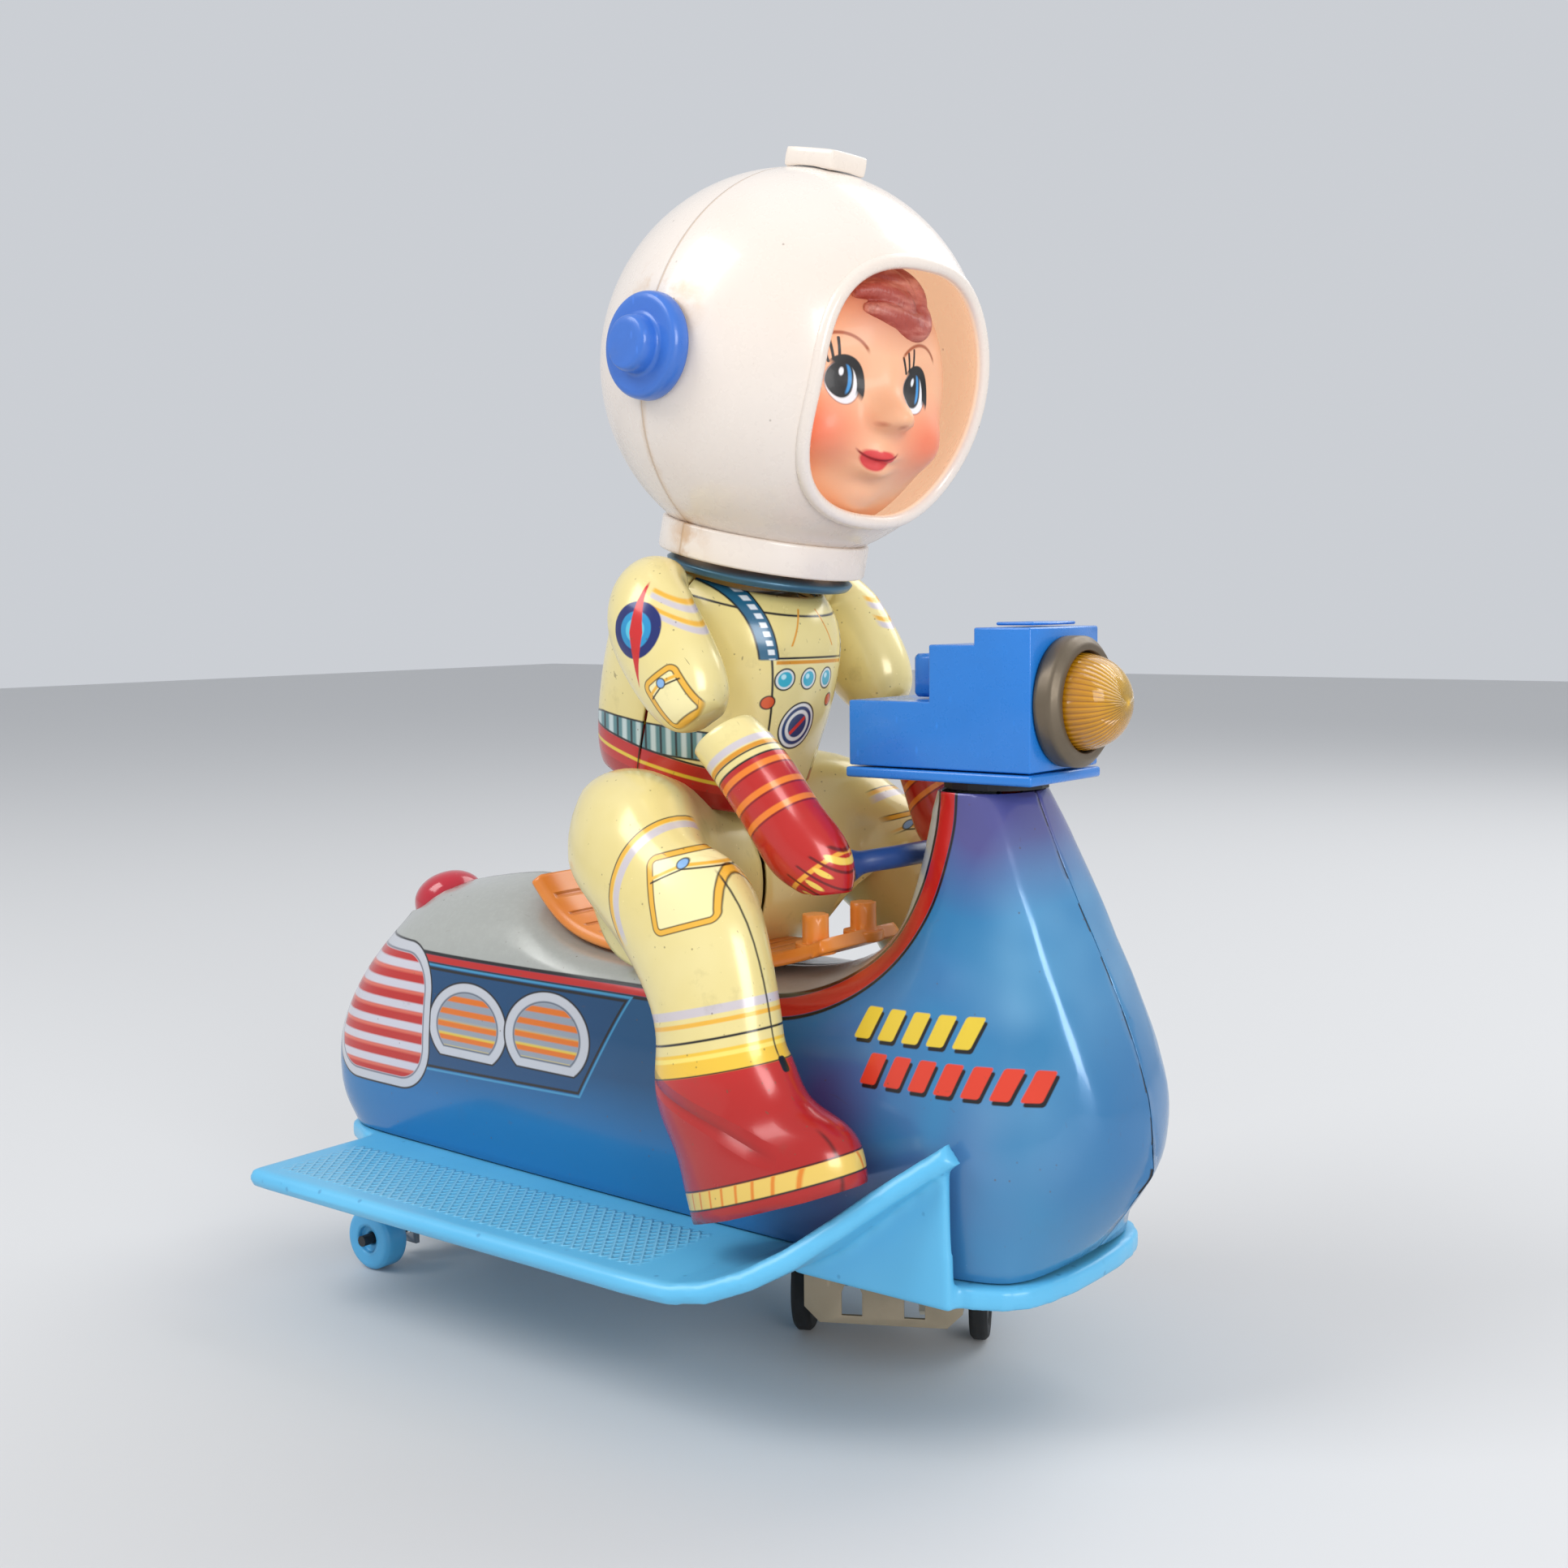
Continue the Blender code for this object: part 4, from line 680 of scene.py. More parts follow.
def chest(fin, y, z):
    """Breast panel with two straps, three gauges, two lights, and a plain compass dial."""
    panel = (abs(y) - (z - 110.0) * 0.14 - 7.4).high(z - 134.8)
    fin.paint((0.86, 0.74, 0.34), inside(panel))
    fin.paint(BLACK, outline(panel, 0.4))
    fin.paint(OCHRE, inside(abs(z - 134.0) - 0.35) * inside(abs(y) - 10.0))
    lean = abs(y) - 11.2 - (z - 134.6) * 0.16
    strap = z.ramp(134.4, 134.8)
    fin.paint(BLACK, inside(abs(lean) - 1.75) * strap)
    fin.paint((0.02, 0.12, 0.22), inside(abs(lean) - 1.45) * strap)
    fin.paint((0.75, 0.80, 0.85), inside(abs(lean + 0.45) - 0.55) * strap * inside(z.wave(1.7) - 0.5, 0.1))
    crease = abs(abs(y + 1.0) - 4.0 - (141.0 - z) * 0.5)
    fin.paint(OCHRE, inside(crease - 0.22) * band(z, 137.0, 144.0))
    for cy in (-7.9, -2.3, 3.4):
        fin.paint(BLACK, inside(disc(y, z, cy, 130.8, 2.15)))
        fin.paint((0.80, 0.82, 0.80), inside(disc(y, z, cy, 130.8, 1.85)))
        fin.paint((0.06, 0.45, 0.60), inside(disc(y, z, cy, 130.8, 1.45)))
        fin.paint((0.55, 0.85, 0.92), inside(disc(y, z, cy - 0.4, 131.3, 0.5)))
    for cy in (-10.4, 5.9):
        fin.paint(BLACK, inside(disc(y, z, cy, 126.5, 1.35)))
        fin.paint((0.70, 0.10, 0.02), inside(disc(y, z, cy, 126.5, 1.1)))
    dy, dz = -2.6, 121.8
    fin.paint(BLACK, inside(disc(y, z, dy, dz, 4.6)))
    fin.paint((0.80, 0.80, 0.78), inside(disc(y, z, dy, dz, 4.25)))
    fin.paint(NAVY, inside(abs(disc(y, z, dy, dz, 3.35)) - 0.35))
    fin.paint(NAVY, inside(disc(y, z, dy, dz, 2.3)))
    fin.paint((0.70, 0.04, 0.03), inside(stroke(y, z, (dy - 1.3, dz - 1.3), (dy + 1.3, dz + 1.3), 0.8)))


def arm_finish(side):
    fin, x, y, z = suit_base("sleeve_print_" + ("right" if side < 0 else "left"))
    # two lilac bands with ochre edges over the shoulder
    slant = x * 0.43 + z * 0.9
    outer = abs(y).ramp(26.5, 27.5) * x.ramp(18.6, 19.2)
    for start in (137.6, 140.0):
        fin.paint(LILAC, band(slant, start, start + 0.8) * outer)
        fin.paint(PIPING, band(slant, start + 0.9, start + 1.5) * outer)
    # badge: plain rings and a dart
    out = abs(y)
    face = out.ramp(32.5, 33.5)
    cx, cz = 17.2, 140.6
    fin.paint((0.01, 0.02, 0.14), inside(disc(x, z, cx, cz, 5.2)) * face)
    fin.paint((0.02, 0.28, 0.55), inside(disc(x, z, cx, cz, 3.4)) * face)
    fin.paint((0.10, 0.55, 0.72), inside(disc(x, z, cx, cz, 2.1)) * face)
    u, v = x - cx, z - cz + 0.5
    dart = abs(u - 0.3) - (10.0 - abs(v)) * 0.15
    fin.paint((0.62, 0.02, 0.02), inside(dart.high(abs(v) - 9.8)) * face)
    # pocket with a flap
    pu, pv = turned(x, z, 24.8, 128.6, 33)
    pocket(fin, pu, pv, 3.6, 4.6, face)
    tin_wear(fin, 1.2)
    return tin_gloss(fin, 0.2)


def pocket(fin, u, v, half_u, half_v, mask):
    """A printed patch pocket: ochre double outline, scalloped flap and a blue stud."""
    patch = tablet(u, v, 0, 0, half_u, half_v, 1.2)
    fin.paint((0.93, 0.82, 0.42), inside(patch) * mask)
    fin.paint(BLACK, outline(patch, 1.3) * mask)
    fin.paint(PIPING, outline(patch, 0.9) * mask)
    flap = v - (half_v * 0.45) + abs(u) * 0.18 - 0.4
    fin.paint(BLACK, outline(flap, 0.32) * inside(patch) * mask)
    fin.paint(PIPING, outline(flap - 0.7, 0.6) * inside(patch) * mask)
    fin.paint(BLACK, inside(disc(u, v, 0, half_v * 0.66, 1.0)) * mask)
    fin.paint((0.25, 0.45, 0.75), inside(disc(u, v, 0, half_v * 0.66, 0.78)) * mask)


def forearm_finish(side):
    fin, x, y, z = suit_base("glove_print_" + ("right" if side < 0 else "left"))
    along = (x - 30.0) * 0.6 - (z - 122.0) * 0.8
    stripe_pair(fin, along - 5.4, 1.3)
    glove = along - 9.4
    fin.paint(BLACK, outline(glove, 0.5))
    fin.paint(RED, glove.ramp(0.0, 0.2))
    for low in (1.0, 5.2, 9.0):
        fin.paint((0.85, 0.22, 0.02), band(glove, low, low + 1.1))
        fin.paint((0.20, 0.004, 0.004), outline(glove - low - 1.3, 0.3))
    fin.paint((0.90, 0.40, 0.04), outline(glove - 19.0 - abs(y * 0.1), 0.8))
    u, v = turned(x, z, 52.0, 97.0, -35)
    fingers = glove.ramp(19.4, 19.9)
    fin.paint((0.16, 0.004, 0.004), inside(v.wave(2.7) - 0.22, 0.1) * fingers)
    nail = disc((v + 1.35).wave(2.7), u, 0.0, -0.2, 0.5, 1.6)
    fin.paint((0.90, 0.62, 0.10), inside(nail, 0.08) * fingers)
    tin_wear(fin, 0.6)
    return tin_gloss(fin, 0.2)


def leg_finish(side):
    fin, x, y, z = suit_base("leg_print_" + ("right" if side < 0 else "left"))
    out = abs(y)
    face = out.ramp(27.0, 29.0)
    # arc of stripes and the thigh pocket
    arc = disc(x, z, 36.5, 92.0, 18.6, 18.6)
    upper = face * (z - x * 0.5).ramp(74.0, 77.0)
    for colour, low, high in ((LILAC, -1.6, 0.0), (PIPING, 0.2, 1.1), (BLACK, 1.1, 1.35)):
        fin.paint(colour, band(arc, low, high) * upper)
    pu, pv = turned(x, z, 32.6, 95.6, 17)
    pocket(fin, pu, pv, 5.6, 6.6, face)
    # hem above the boot; the boot's lines slope up towards the toe
    level = z - (x - 38.0) * 0.25
    hem = 75.6 - level
    fin.paint(LILAC, band(hem, 0.0, 1.6))
    fin.paint(PIPING, band(hem, 2.5, 3.3))
    fin.paint(BLACK, outline(hem - 5.9, 0.45))
    cuff = level - 67.8
    fin.paint((0.88, 0.55, 0.05), inside(cuff))
    fin.paint((0.95, 0.75, 0.16), band(cuff, -1.4, -0.6))
    fin.paint(BLACK, outline(cuff + 4.1, 0.3))
    boot = level - 63.6
    fin.paint(RED, inside(boot))
    fin.paint(DARK_RED, inside(boot + 5.5, 5.5) * 0.35)
    slot = tablet(level, out, 62.8, 37.6, 1.5, 0.9, 0.7)
    fin.paint(BLACK, inside(slot) * x.ramp(47.0, 48.0))
    # pressed ankle crease and the cleft that parts the toe, both with painted shade along them
    ankle = z - 55.0 + (x - 45.0) * 0.30
    fin.bump(inside(abs(ankle) - 0.6, 1.6) * x.ramp(56.0, 50.0), -0.9)
    # painted shade along the pressed crease
    fin.paint((0.14, 0.002, 0.002), outline(ankle, 0.5, 0.9) * x.ramp(56.0, 50.0) * 0.5)
    # painted shade in the cleft
    cleft = outline(out - 41.0, 0.5, 0.25) * x.ramp(60.0, 62.0) * z.ramp(62.0, 60.0)
    fin.paint((0.10, 0.0, 0.0), cleft * 0.9)
    # sole stripe, parallel to the tilted sole
    sole = z - 33.5 - (x - 29.0) * 0.36
    fin.paint((0.05, 0.0, 0.0), outline(sole - 6.4, 0.35) * inside(boot + 4.0))
    stripe = band(sole, 2.8, 6.2) * inside(boot + 4.0)
    fin.paint((0.80, 0.55, 0.12), stripe)
    fin.paint((0.75, 0.24, 0.02), stripe * inside((x + out * 0.7).wave(3.4) - 0.3, 0.15))
    fin.paint(BLACK, outline(sole - 2.8, 0.35) * inside(boot + 4.0))
    # pressed seam down the front of the leg
    seam = outline(out - 38.0, 0.4) * x.ramp(36.0, 38.0) * z.ramp(66.0, 68.0)
    fin.paint(BLACK, seam * 0.9)
    tin_wear(fin, 1.0)
    return tin_gloss(fin, 0.2)


def fill_leg(obj):
    """Let the thigh rest on the seat and the hip rise behind the belt."""
    for vert in obj.data.vertices:
        x, y, z = vert.co / MM
        under = min(1.0, max(0.0, (94.0 - z) / 12.0)) * min(1.0, max(0.0, (35.0 - abs(y)) / 7.0))
        above = min(1.0, max(0.0, (z - 97.0) / 9.0)) * min(1.0, max(0.3, (34.0 - x) / 16.0))
        if z > 66.0:
            drop = under * THIGH_DROP * min(1.0, (z - 66.0) / 6.0)
            vert.co.z += (above * HIP_RISE - drop) * MM


def close_waist(obj, way):
    """Draw the lower end of a torso half towards the other half."""
    for vert in obj.data.vertices:
        near = min(1.0, max(0.0, (124.0 - vert.co.z / MM) / 10.0))
        vert.co.x += way * near * WAIST_DRAW * MM


def rider():
    close_waist(skin("torso_front", "chest_shell", torso_finish(True), sharp=50), -1)
    close_waist(skin("torso_back", "back_shell", torso_finish(False), sharp=50), 1)
    for side, label in ((-1, "right"), (1, "left")):
        fill_leg(skin(label + "_leg", "leg_shell_" + label, leg_finish(side), sharp=50))
        skin(label + "_upper_arm", "sleeve_" + label, arm_finish(side), sharp=50)
        skin(label + "_forearm", "glove_" + label, forearm_finish(side), sharp=50)
    skin("neck_ring", "collar_seat",
         plain_finish("collar_blue", (0.06, 0.16, 0.24), 0.3, 0.5, 0.01, Metallic=0.3), sharp=40)


# ------------------------------------------------------------------ helmet

def helmet_finish():
    fin = Finish("helmet_ivory", Coat_Weight=0.35, Coat_Roughness=0.09, Emission_Strength=1.0)
    x, y, z = fin.place(HELMET_CENTRE, HELMET_TURN)
    radius = ((x * x + y * y) + z * z).root()
    fin.paint((0.85, 0.76, 0.68))
    fin.paint((0.80, 0.64, 0.52), fin.noise(0.028, 2.0, 0.5).ramp(0.42, 0.75) * 0.4)
    # inside the shell: a warmer colour and a soft glow, painted light standing in for light that comes
    # through the plastic
    within = radius.ramp(35.6, 35.1)
    fin.paint((0.88, 0.76, 0.60), within * 0.85)
    painted_inner_light = fin.node('ShaderNodeMix', {"data_type": 'RGBA'},
                    {0: within, 6: (0, 0, 0), 7: (0.25, 0.205, 0.15)})
    fin.feed(fin.shader.inputs["Emission Color"], painted_inner_light.outputs[2])
    outer = radius.ramp(35.9, 36.1)
    fin.paint((0.55, 0.36, 0.20), outline(x + 2.0, 0.28) * outer * 0.75)
    wander = fin.noise(0.16, 4.0, 0.6)
    ear = inside(disc(x, z, -1.0, 8.0, 8.5, 6.5), 2.5) * wander.ramp(0.42, 0.66) * abs(y).ramp(20, 24)
    fin.paint((0.60, 0.34, 0.12), ear * outer * 0.7)
    drip = inside(abs(x + 1.0) - 4.0, 3.0) * z.ramp(-26.0, -33.0) * wander.ramp(0.42, 0.6)
    fin.paint((0.56, 0.30, 0.10), drip * 0.65)
    run = inside(abs(x + 2.0 - (wander - 0.5) * 4.0) - 0.7, 0.6) * z.ramp(4.0, -8.0) * outer
    fin.paint((0.66, 0.44, 0.24), run * 0.35)
    fin.paint(DIRT, fin.specks(0.35, 0.12, None, 0.08) * 0.6)
    fin.bump(fin.noise(0.05, 2.0, 0.5), 0.2)
    fin.bump(outline(x + 2.0, 0.5) * outer, 0.15)
    return fin.done(roughness=fin.noise(0.3, 3.0, 0.6) * 0.16 + 0.2)


def window_edge(radius, grow=0.0, count=72):
    """Points of the window's edge on a globe, in the helmet's own frame."""
    points = []
    for i in range(count):
        t = 2 * math.pi * i / count
        y = math.copysign(abs(math.cos(t)) ** 0.8, math.cos(t)) * (22.4 + grow)
        z = math.copysign(abs(math.sin(t)) ** 0.8, math.sin(t)) * (23.0 + grow) - 1.5
        points.append(Vector((math.sqrt(max(radius ** 2 - y * y - z * z, 1.0)), y, z)))
    return points


def helmet():
    bpy.ops.object.select_all(action='DESELECT')
    bpy.ops.mesh.primitive_uv_sphere_add(segments=96, ring_count=64, radius=HELMET_R * MM)
    globe = bpy.context.object
    globe.name = "helmet_globe"
    bpy.ops.object.mode_set(mode='EDIT')
    bpy.ops.mesh.select_all(action='SELECT')
    bpy.ops.mesh.bisect(plane_co=(0, 0, -31.0 * MM), plane_no=(0, 0, -1), clear_outer=True)
    bpy.ops.mesh.select_all(action='DESELECT')
    bpy.ops.object.mode_set(mode='OBJECT')
    apply(globe, 'SOLIDIFY', thickness=HELMET_WALL * MM, offset=-1.0)
    cutter = window_cutter()
    apply(globe, 'BOOLEAN', operation='DIFFERENCE', object=cutter, solver='EXACT')
    bpy.data.objects.remove(cutter, do_unlink=True)
    lip = tube("helmet_lip", window_edge(HELMET_R - 0.5, 0.4), [1.35] * 72, True, 5)
    collar = collar_band()
    join_into(globe, [lip, collar])
    globe.data.transform(Matrix.Translation(HELMET_CENTRE * MM) @ HELMET_TURN.to_4x4())
    smooth(globe, 40)
    settle(globe, "helmet", helmet_finish())


def window_cutter():
    edge = window_edge(HELMET_R)
    verts = [(x * MM, p.y * MM, p.z * MM) for x in (8, 60) for p in edge]
    n = len(edge)
    faces = [tuple(range(n)), tuple(reversed(range(n, 2 * n)))]
    faces += [(i, n + i, n + (i + 1) % n, (i + 1) % n) for i in range(n)]
    mesh = bpy.data.meshes.new("window_cutter")
    mesh.from_pydata(verts, [], faces)
    obj = bpy.data.objects.new("window_cutter", mesh)
    bpy.context.scene.collection.objects.link(obj)
    pick(obj)
    bpy.ops.object.mode_set(mode='EDIT')
    bpy.ops.mesh.select_all(action='SELECT')
    bpy.ops.mesh.normals_make_consistent(inside=False)
    bpy.ops.object.mode_set(mode='OBJECT')
    return obj


def collar_band():
    """Straight collar under the globe."""
    bpy.ops.object.select_all(action='DESELECT')
    bpy.ops.mesh.primitive_cylinder_add(vertices=72, radius=20.2 * MM, depth=6.2 * MM,
                                        location=(0, 0, -34.1 * MM), end_fill_type='NOTHING')
    obj = bpy.context.object
    bpy.ops.object.transform_apply(location=True, rotation=True, scale=True)
    apply(obj, 'SOLIDIFY', thickness=2.6 * MM, offset=-1.0)
    apply(obj, 'BEVEL', width=0.5 * MM, segments=3, limit_method='ANGLE', angle_limit=0.7)
    return obj


def helmet_fittings():
    skin("helmet_cap", "crown_plate", helmet_finish_plain(), sharp=35, levels=2)
    ear = plain_finish("ear_blue", (0.045, 0.17, 0.60), 0.3, 0.25, 0.03, Coat_Weight=0.25)
    for label in ("right", "left"):
        skin("ear_disc_" + label, "ear_boss_" + label, ear, sharp=45)


def helmet_finish_plain():
    return plain_finish("crown_ivory", (0.86, 0.77, 0.68), 0.28, 0.15, 0.02, Coat_Weight=0.3)


# ------------------------------------------------------------------ doll's head

def bell(value, centre, width):
    return math.exp(-((value - centre) / width) ** 2)


def face_relief(y, z):
    """How far the doll's face stands out from its plain globe, from its own front."""
    out = 6.4 * bell(y, 0, 2.8) * bell(z, -4.6, 2.5)
    out += 0.8 * bell(y, 0, 1.8) * bell(z, -1.5, 4.0)
    for side in (-1, 1):
        out += 1.6 * bell(y, side * 2.4, 1.4) * bell(z, -5.8, 1.4)
        out += 3.2 * bell(y, side * 11.0, 5.0) * bell(z, -9.5, 5.0)
        out -= 1.3 * bell(y, side * 7.2, 4.0) * bell(z, 0.6, 3.6)
    out += 3.0 * bell(y, 0, 5.4) * bell(z, -12.0, 4.6)
    out += 0.9 * bell(y, 0, 2.7) * bell(z, -11.3, 0.95)
    out += 1.0 * bell(y, 0, 2.3) * bell(z, -14.2, 1.15)
    out -= 0.8 * bell(y, 0, 3.6) * bell(z, -12.7, 0.55)
    out -= 0.8 * bell(y, 0, 3.0) * bell(z, -17.0, 1.5)
    out += 1.8 * bell(y, 0, 4.5) * bell(z, -20.5, 3.2)
    out += 1.4 * bell(y, 0, 11.0) * bell(z, 11.0, 6.0)
    return out


def head():
    bpy.ops.object.select_all(action='DESELECT')
    bpy.ops.mesh.primitive_uv_sphere_add(segments=160, ring_count=120, radius=1.0)
    obj = bpy.context.object
    obj.name = "doll_head"
    for vert in obj.data.vertices:
        p = Vector([c * s for c, s in zip(vert.co, HEAD_SIZE)])
        if p.x > 0:
            f = GLANCE.transposed() @ p
            fade = min(1.0, max(0.0, f.x / 9.0))
            push = face_relief(f.y, f.z + HEAD_CENTRE.z) * fade
            p += p.normalized() * push
        vert.co = (HELMET_CENTRE + HELMET_TURN @ (p + HEAD_CENTRE)) * MM
    neck = neck_plug()
    smooth(obj, 60)
    settle(obj, "head", head_finish())
    settle_extra(neck, "head", obj.data.materials[0])
    settle_extra(hair(), "head", hair_finish())
    return obj


def settle_extra(obj, node, mat):
    obj.data.materials.clear()
    obj.data.materials.append(mat)
    smooth(obj, 50)
    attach(obj, BODY_OF[node])
    return obj


def neck_plug():
    bpy.ops.object.select_all(action='DESELECT')
    bpy.ops.mesh.primitive_cylinder_add(vertices=48, radius=12 * MM, depth=13 * MM,
                                        location=(0, 0, -32.9 * MM))
    obj = bpy.context.object
    obj.name = "doll_neck"
    bpy.ops.object.transform_apply(location=True, rotation=True, scale=True)
    apply(obj, 'BEVEL', width=0.8 * MM, segments=3, limit_method='ANGLE', angle_limit=0.7)
    obj.data.transform(Matrix.Translation(HELMET_CENTRE * MM) @ HELMET_TURN.to_4x4())
    return obj


def hair():
    """Moulded locks that sweep over the forehead into one curl."""
    strands = []
    locks = (
        ((-7.0, 16.6), (-3.0, 17.6), (1.0, 17.6), (4.2, 16.0), (5.2, 13.4), 2.1),
        ((-7.0, 14.2), (-3.2, 15.0), (0.0, 14.6), (2.6, 13.0), (4.6, 12.0), 2.4),
        ((-5.6, 12.2), (-2.4, 11.8), (1.0, 11.0), (4.0, 10.8), (6.6, 12.4), 2.2),
        ((0.0, 10.0), (3.4, 9.2), (6.4, 10.0), (7.8, 12.4), (7.0, 15.0), 1.9),
        ((1.0, 19.0), (4.4, 18.4), (7.0, 16.4), (7.4, 14.0), (5.8, 12.4), 2.0),
        ((-1.0, 16.0), (1.6, 15.4), (3.2, 14.0), (3.4, 12.6), (2.4, 12.0), 2.0),
    )
    for number, (*spots, size) in enumerate(locks):
        points = []
        for i in range(17):
            t = i / 16 * (len(spots) - 1)
            k = min(int(t), len(spots) - 2)
            t -= k
            a = Vector(spots[max(k - 1, 0)])
            b, c = Vector(spots[k]), Vector(spots[k + 1])
            d = Vector(spots[min(k + 2, len(spots) - 1)])
            p = 0.5 * (2 * b + (c - a) * t + (2 * a - 5 * b + 4 * c - d) * t * t
                       + (3 * b - a - 3 * c + d) * t ** 3)
            points.append(on_head(p.x, p.y, 0.9))
        radii = [size * math.sin(math.pi * (0.05 + 0.9 * i / 16)) ** 0.6 for i in range(17)]
        strands.append(tube("lock_%d" % number, points, radii, False, 4))
    main = join_into(strands[0], strands[1:])
    main.name = "doll_curl"
    apply(main, 'REMESH', mode='VOXEL', voxel_size=CURL_MESH * MM)
    apply(main, 'SMOOTH', factor=0.5, iterations=2)
    return main


def on_head(y, z, lift):
    """A place on the forehead, given across and up in the face's frame (mm)."""
    height = z - HEAD_CENTRE.z
    flat = 1 - (y / HEAD_SIZE.y) ** 2 - (height / HEAD_SIZE.z) ** 2
    depth = math.sqrt(max(0.02, flat)) * HEAD_SIZE.x
    local = GLANCE @ Vector((depth, y, height))
    local += local.normalized() * lift
    return HELMET_TURN @ (local + HEAD_CENTRE) + HELMET_CENTRE


def hair_finish():
    fin = Finish("curl_paint", Coat_Weight=0.1)
    fin.place(HELMET_CENTRE, FACE_TURN)
    fin.paint((0.38, 0.06, 0.04))
    # painted highlights: pinkish streaks over the locks
    fin.paint((0.74, 0.30, 0.22), fin.noise(0.25, 3.0, 0.6, (1, 0.4, 1.6)).ramp(0.42, 0.7) * 0.8)
    fin.paint((0.14, 0.012, 0.008), fin.noise(0.4, 4.0, 0.6).ramp(0.55, 0.8) * 0.7)
    fin.bump(fin.noise(1.2, 2.0, 0.5, (0.5, 1.6, 0.6)), 0.2)
    return fin.done(roughness=fin.noise(0.5, 2.0, 0.5) * 0.2 + 0.38)


def head_finish():
    fin = Finish("doll_vinyl", Coat_Weight=0.08, Subsurface_Weight=0.12,
                 Subsurface_Radius=(0.004, 0.0015, 0.0008), Subsurface_Scale=1.0)
    x, y, z = fin.place(HELMET_CENTRE, FACE_TURN)
    # heights on the face are measured from the helmet's centre
    front = x.ramp(8.0, 12.0)
    side = abs(y)
    fin.paint((0.92, 0.47, 0.27))
    fin.paint((0.95, 0.56, 0.36), fin.noise(0.06, 2.0, 0.5).ramp(0.4, 0.7) * 0.3)
    fin.paint((0.86, 0.15, 0.07), inside(disc(side, z, 11.8, -9.2, 6.5, 5.4), 4.0) * front * 0.75)
    fin.paint((0.55, 0.14, 0.07), inside(disc(side, z, 1.5, -6.6, 0.6, 0.4), 0.3) * front * 0.6)
    eyes(fin, y, z, front)
    lips(fin, y, z, front)
    for s in (-1, 1):
        brow = disc(y, z, s * 8.0, 1.6, 5.6, 6.2)
        fin.paint((0.40, 0.10, 0.03), inside(abs(brow) - 0.26, 0.14) * z.ramp(4.6, 5.8) * front
                  * inside(abs(y - s * 8.0) - 4.6, 0.4))
    fin.paint((0.50, 0.10, 0.06), inside(disc(y, z, 1.0, 16.5, 13.0, 7.5), 4.0) * front * 0.7)
    fin.bump(fin.noise(0.6, 3.0, 0.5), 0.04)
    return fin.done(roughness=fin.noise(0.4, 3.0, 0.6) * 0.12 + 0.38)


def eyes(fin, y, z, front):
    """Painted eyes that glance to one side, with spiky lashes."""
    for s in (-1, 1):
        cy, cz = s * 7.4, -0.4
        white = disc(y, z, cy, cz - 0.2, 3.1, 3.6)
        fin.paint((0.45, 0.14, 0.08), inside(white - 0.15) * front)
        fin.paint((0.86, 0.84, 0.86), inside(white) * front)
        iris = disc(y, z, cy - 0.5, cz + 0.5, 2.7, 3.4)
        fin.paint(BLACK, inside(iris.high(white)) * front)
        crescent = disc(y, z, cy - 0.9, cz + 0.5, 2.1, 2.9)
        blue = inside((crescent * -1.0).high(iris + 0.35)) * y.ramp(cy + 0.3, cy + 0.9)
        fin.paint((0.05, 0.30, 0.68), blue * front)
        fin.paint((0.92, 0.92, 0.95), inside(disc(y, z, cy - 0.2, cz + 1.6, 0.45, 0.7)) * front)
        lid = disc(y, z, cy + 0.2, cz - 0.2, 3.2, 4.0)
        wing = inside(abs(lid) - 0.65, 0.1) * (z - cz + y - cy).ramp(0.0, 1.6)
        fin.paint(BLACK, wing * front)
        for lean in (-1.9, -1.3, -0.6):
            root = (cy + lean * 1.4, cz + 3.9 - lean * lean * 0.25)
            tip = (cy + lean * 1.9 - 0.2, cz + 7.4 - lean * lean * 0.5)
            fin.paint(BLACK, inside(stroke(y, z, root, tip, 0.5), 0.08) * front)


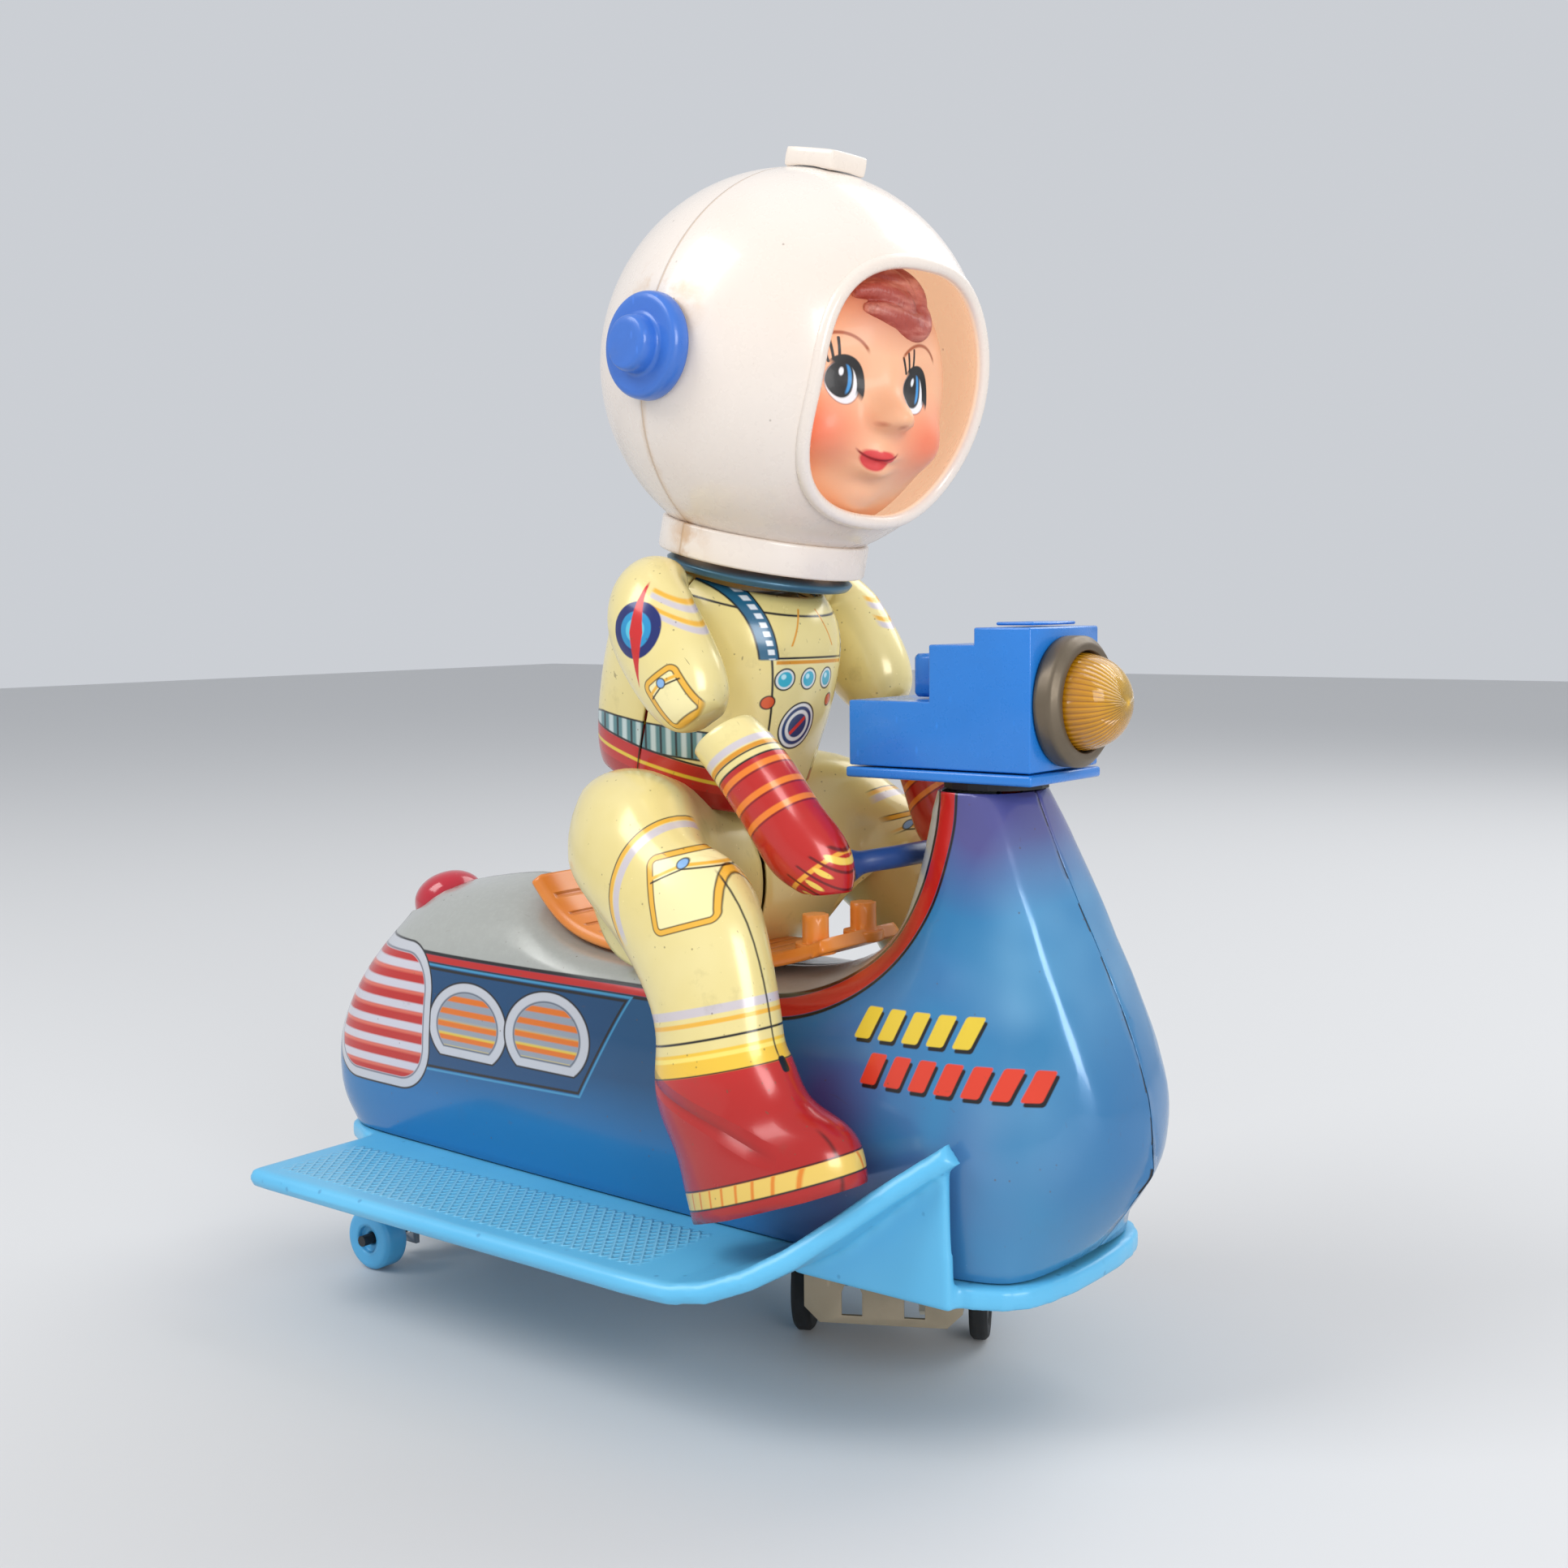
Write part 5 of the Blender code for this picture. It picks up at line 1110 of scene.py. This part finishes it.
def lips(fin, y, z, front):
    smile = z + 13.0 - y * y * 0.085
    shape = disc(y, smile, 0.0, -0.2, 3.1, 1.9)
    notch = disc(y, smile, 0.0, 2.3, 0.9, 0.8)
    mouth = shape.high(notch * -1.0)
    fin.paint((0.74, 0.06, 0.06), inside(mouth, 0.2) * front)
    line = inside(abs(smile) - 0.2, 0.15) * inside(abs(y) - 3.9, 0.5)
    fin.paint((0.30, 0.01, 0.012), line * front)


# ------------------------------------------------------------------ floor, light and camera

def stage():
    bpy.ops.object.select_all(action='DESELECT')
    bpy.ops.mesh.primitive_plane_add(size=6.0, location=(0, 0, 0))
    floor = bpy.context.object
    floor.name = "floor"
    fin = Finish("floor_pale", Roughness=0.6)
    fin.place()
    fin.paint((0.62, 0.62, 0.62))
    floor.data.materials.append(fin.done())
    world = bpy.data.worlds.new("studio")
    bpy.context.scene.world = world
    world.use_nodes = True
    bpy.context.scene.view_settings.view_transform = 'Standard'
    back = world.node_tree.nodes["Background"]
    back.inputs[0].default_value = (0.80, 0.83, 0.88, 1.0)
    back.inputs[1].default_value = 0.75
    panels = (("key", (-0.5, -0.75, 1.05), 0.7, 8.0),
              ("fill", (1.0, -0.5, 0.45), 0.5, 6.0),
              ("rim", (0.2, 0.9, 0.9), 0.8, 6.0))
    for name, place, size, power in panels:
        light = bpy.data.lights.new(name, 'AREA')
        light.size = size
        light.energy = power
        lamp = bpy.data.objects.new(name, light)
        bpy.context.scene.collection.objects.link(lamp)
        lamp.location = place
        aim = Vector((0, 0, 0.11)) - Vector(place)
        lamp.rotation_euler = aim.to_track_quat('-Z', 'Y').to_euler()


def camera():
    cam = bpy.data.cameras.new("camera")
    cam.lens = CAMERA_LENS
    cam.sensor_width = 36.0
    obj = bpy.data.objects.new("camera", cam)
    bpy.context.scene.collection.objects.link(obj)
    obj.location = CAMERA_PLACE
    obj.rotation_euler = [math.radians(angle) for angle in CAMERA_TURN]
    bpy.context.scene.camera = obj


body()
base()
fittings()
running_gear()
rider()
helmet()
helmet_fittings()
head()
stage()
camera()
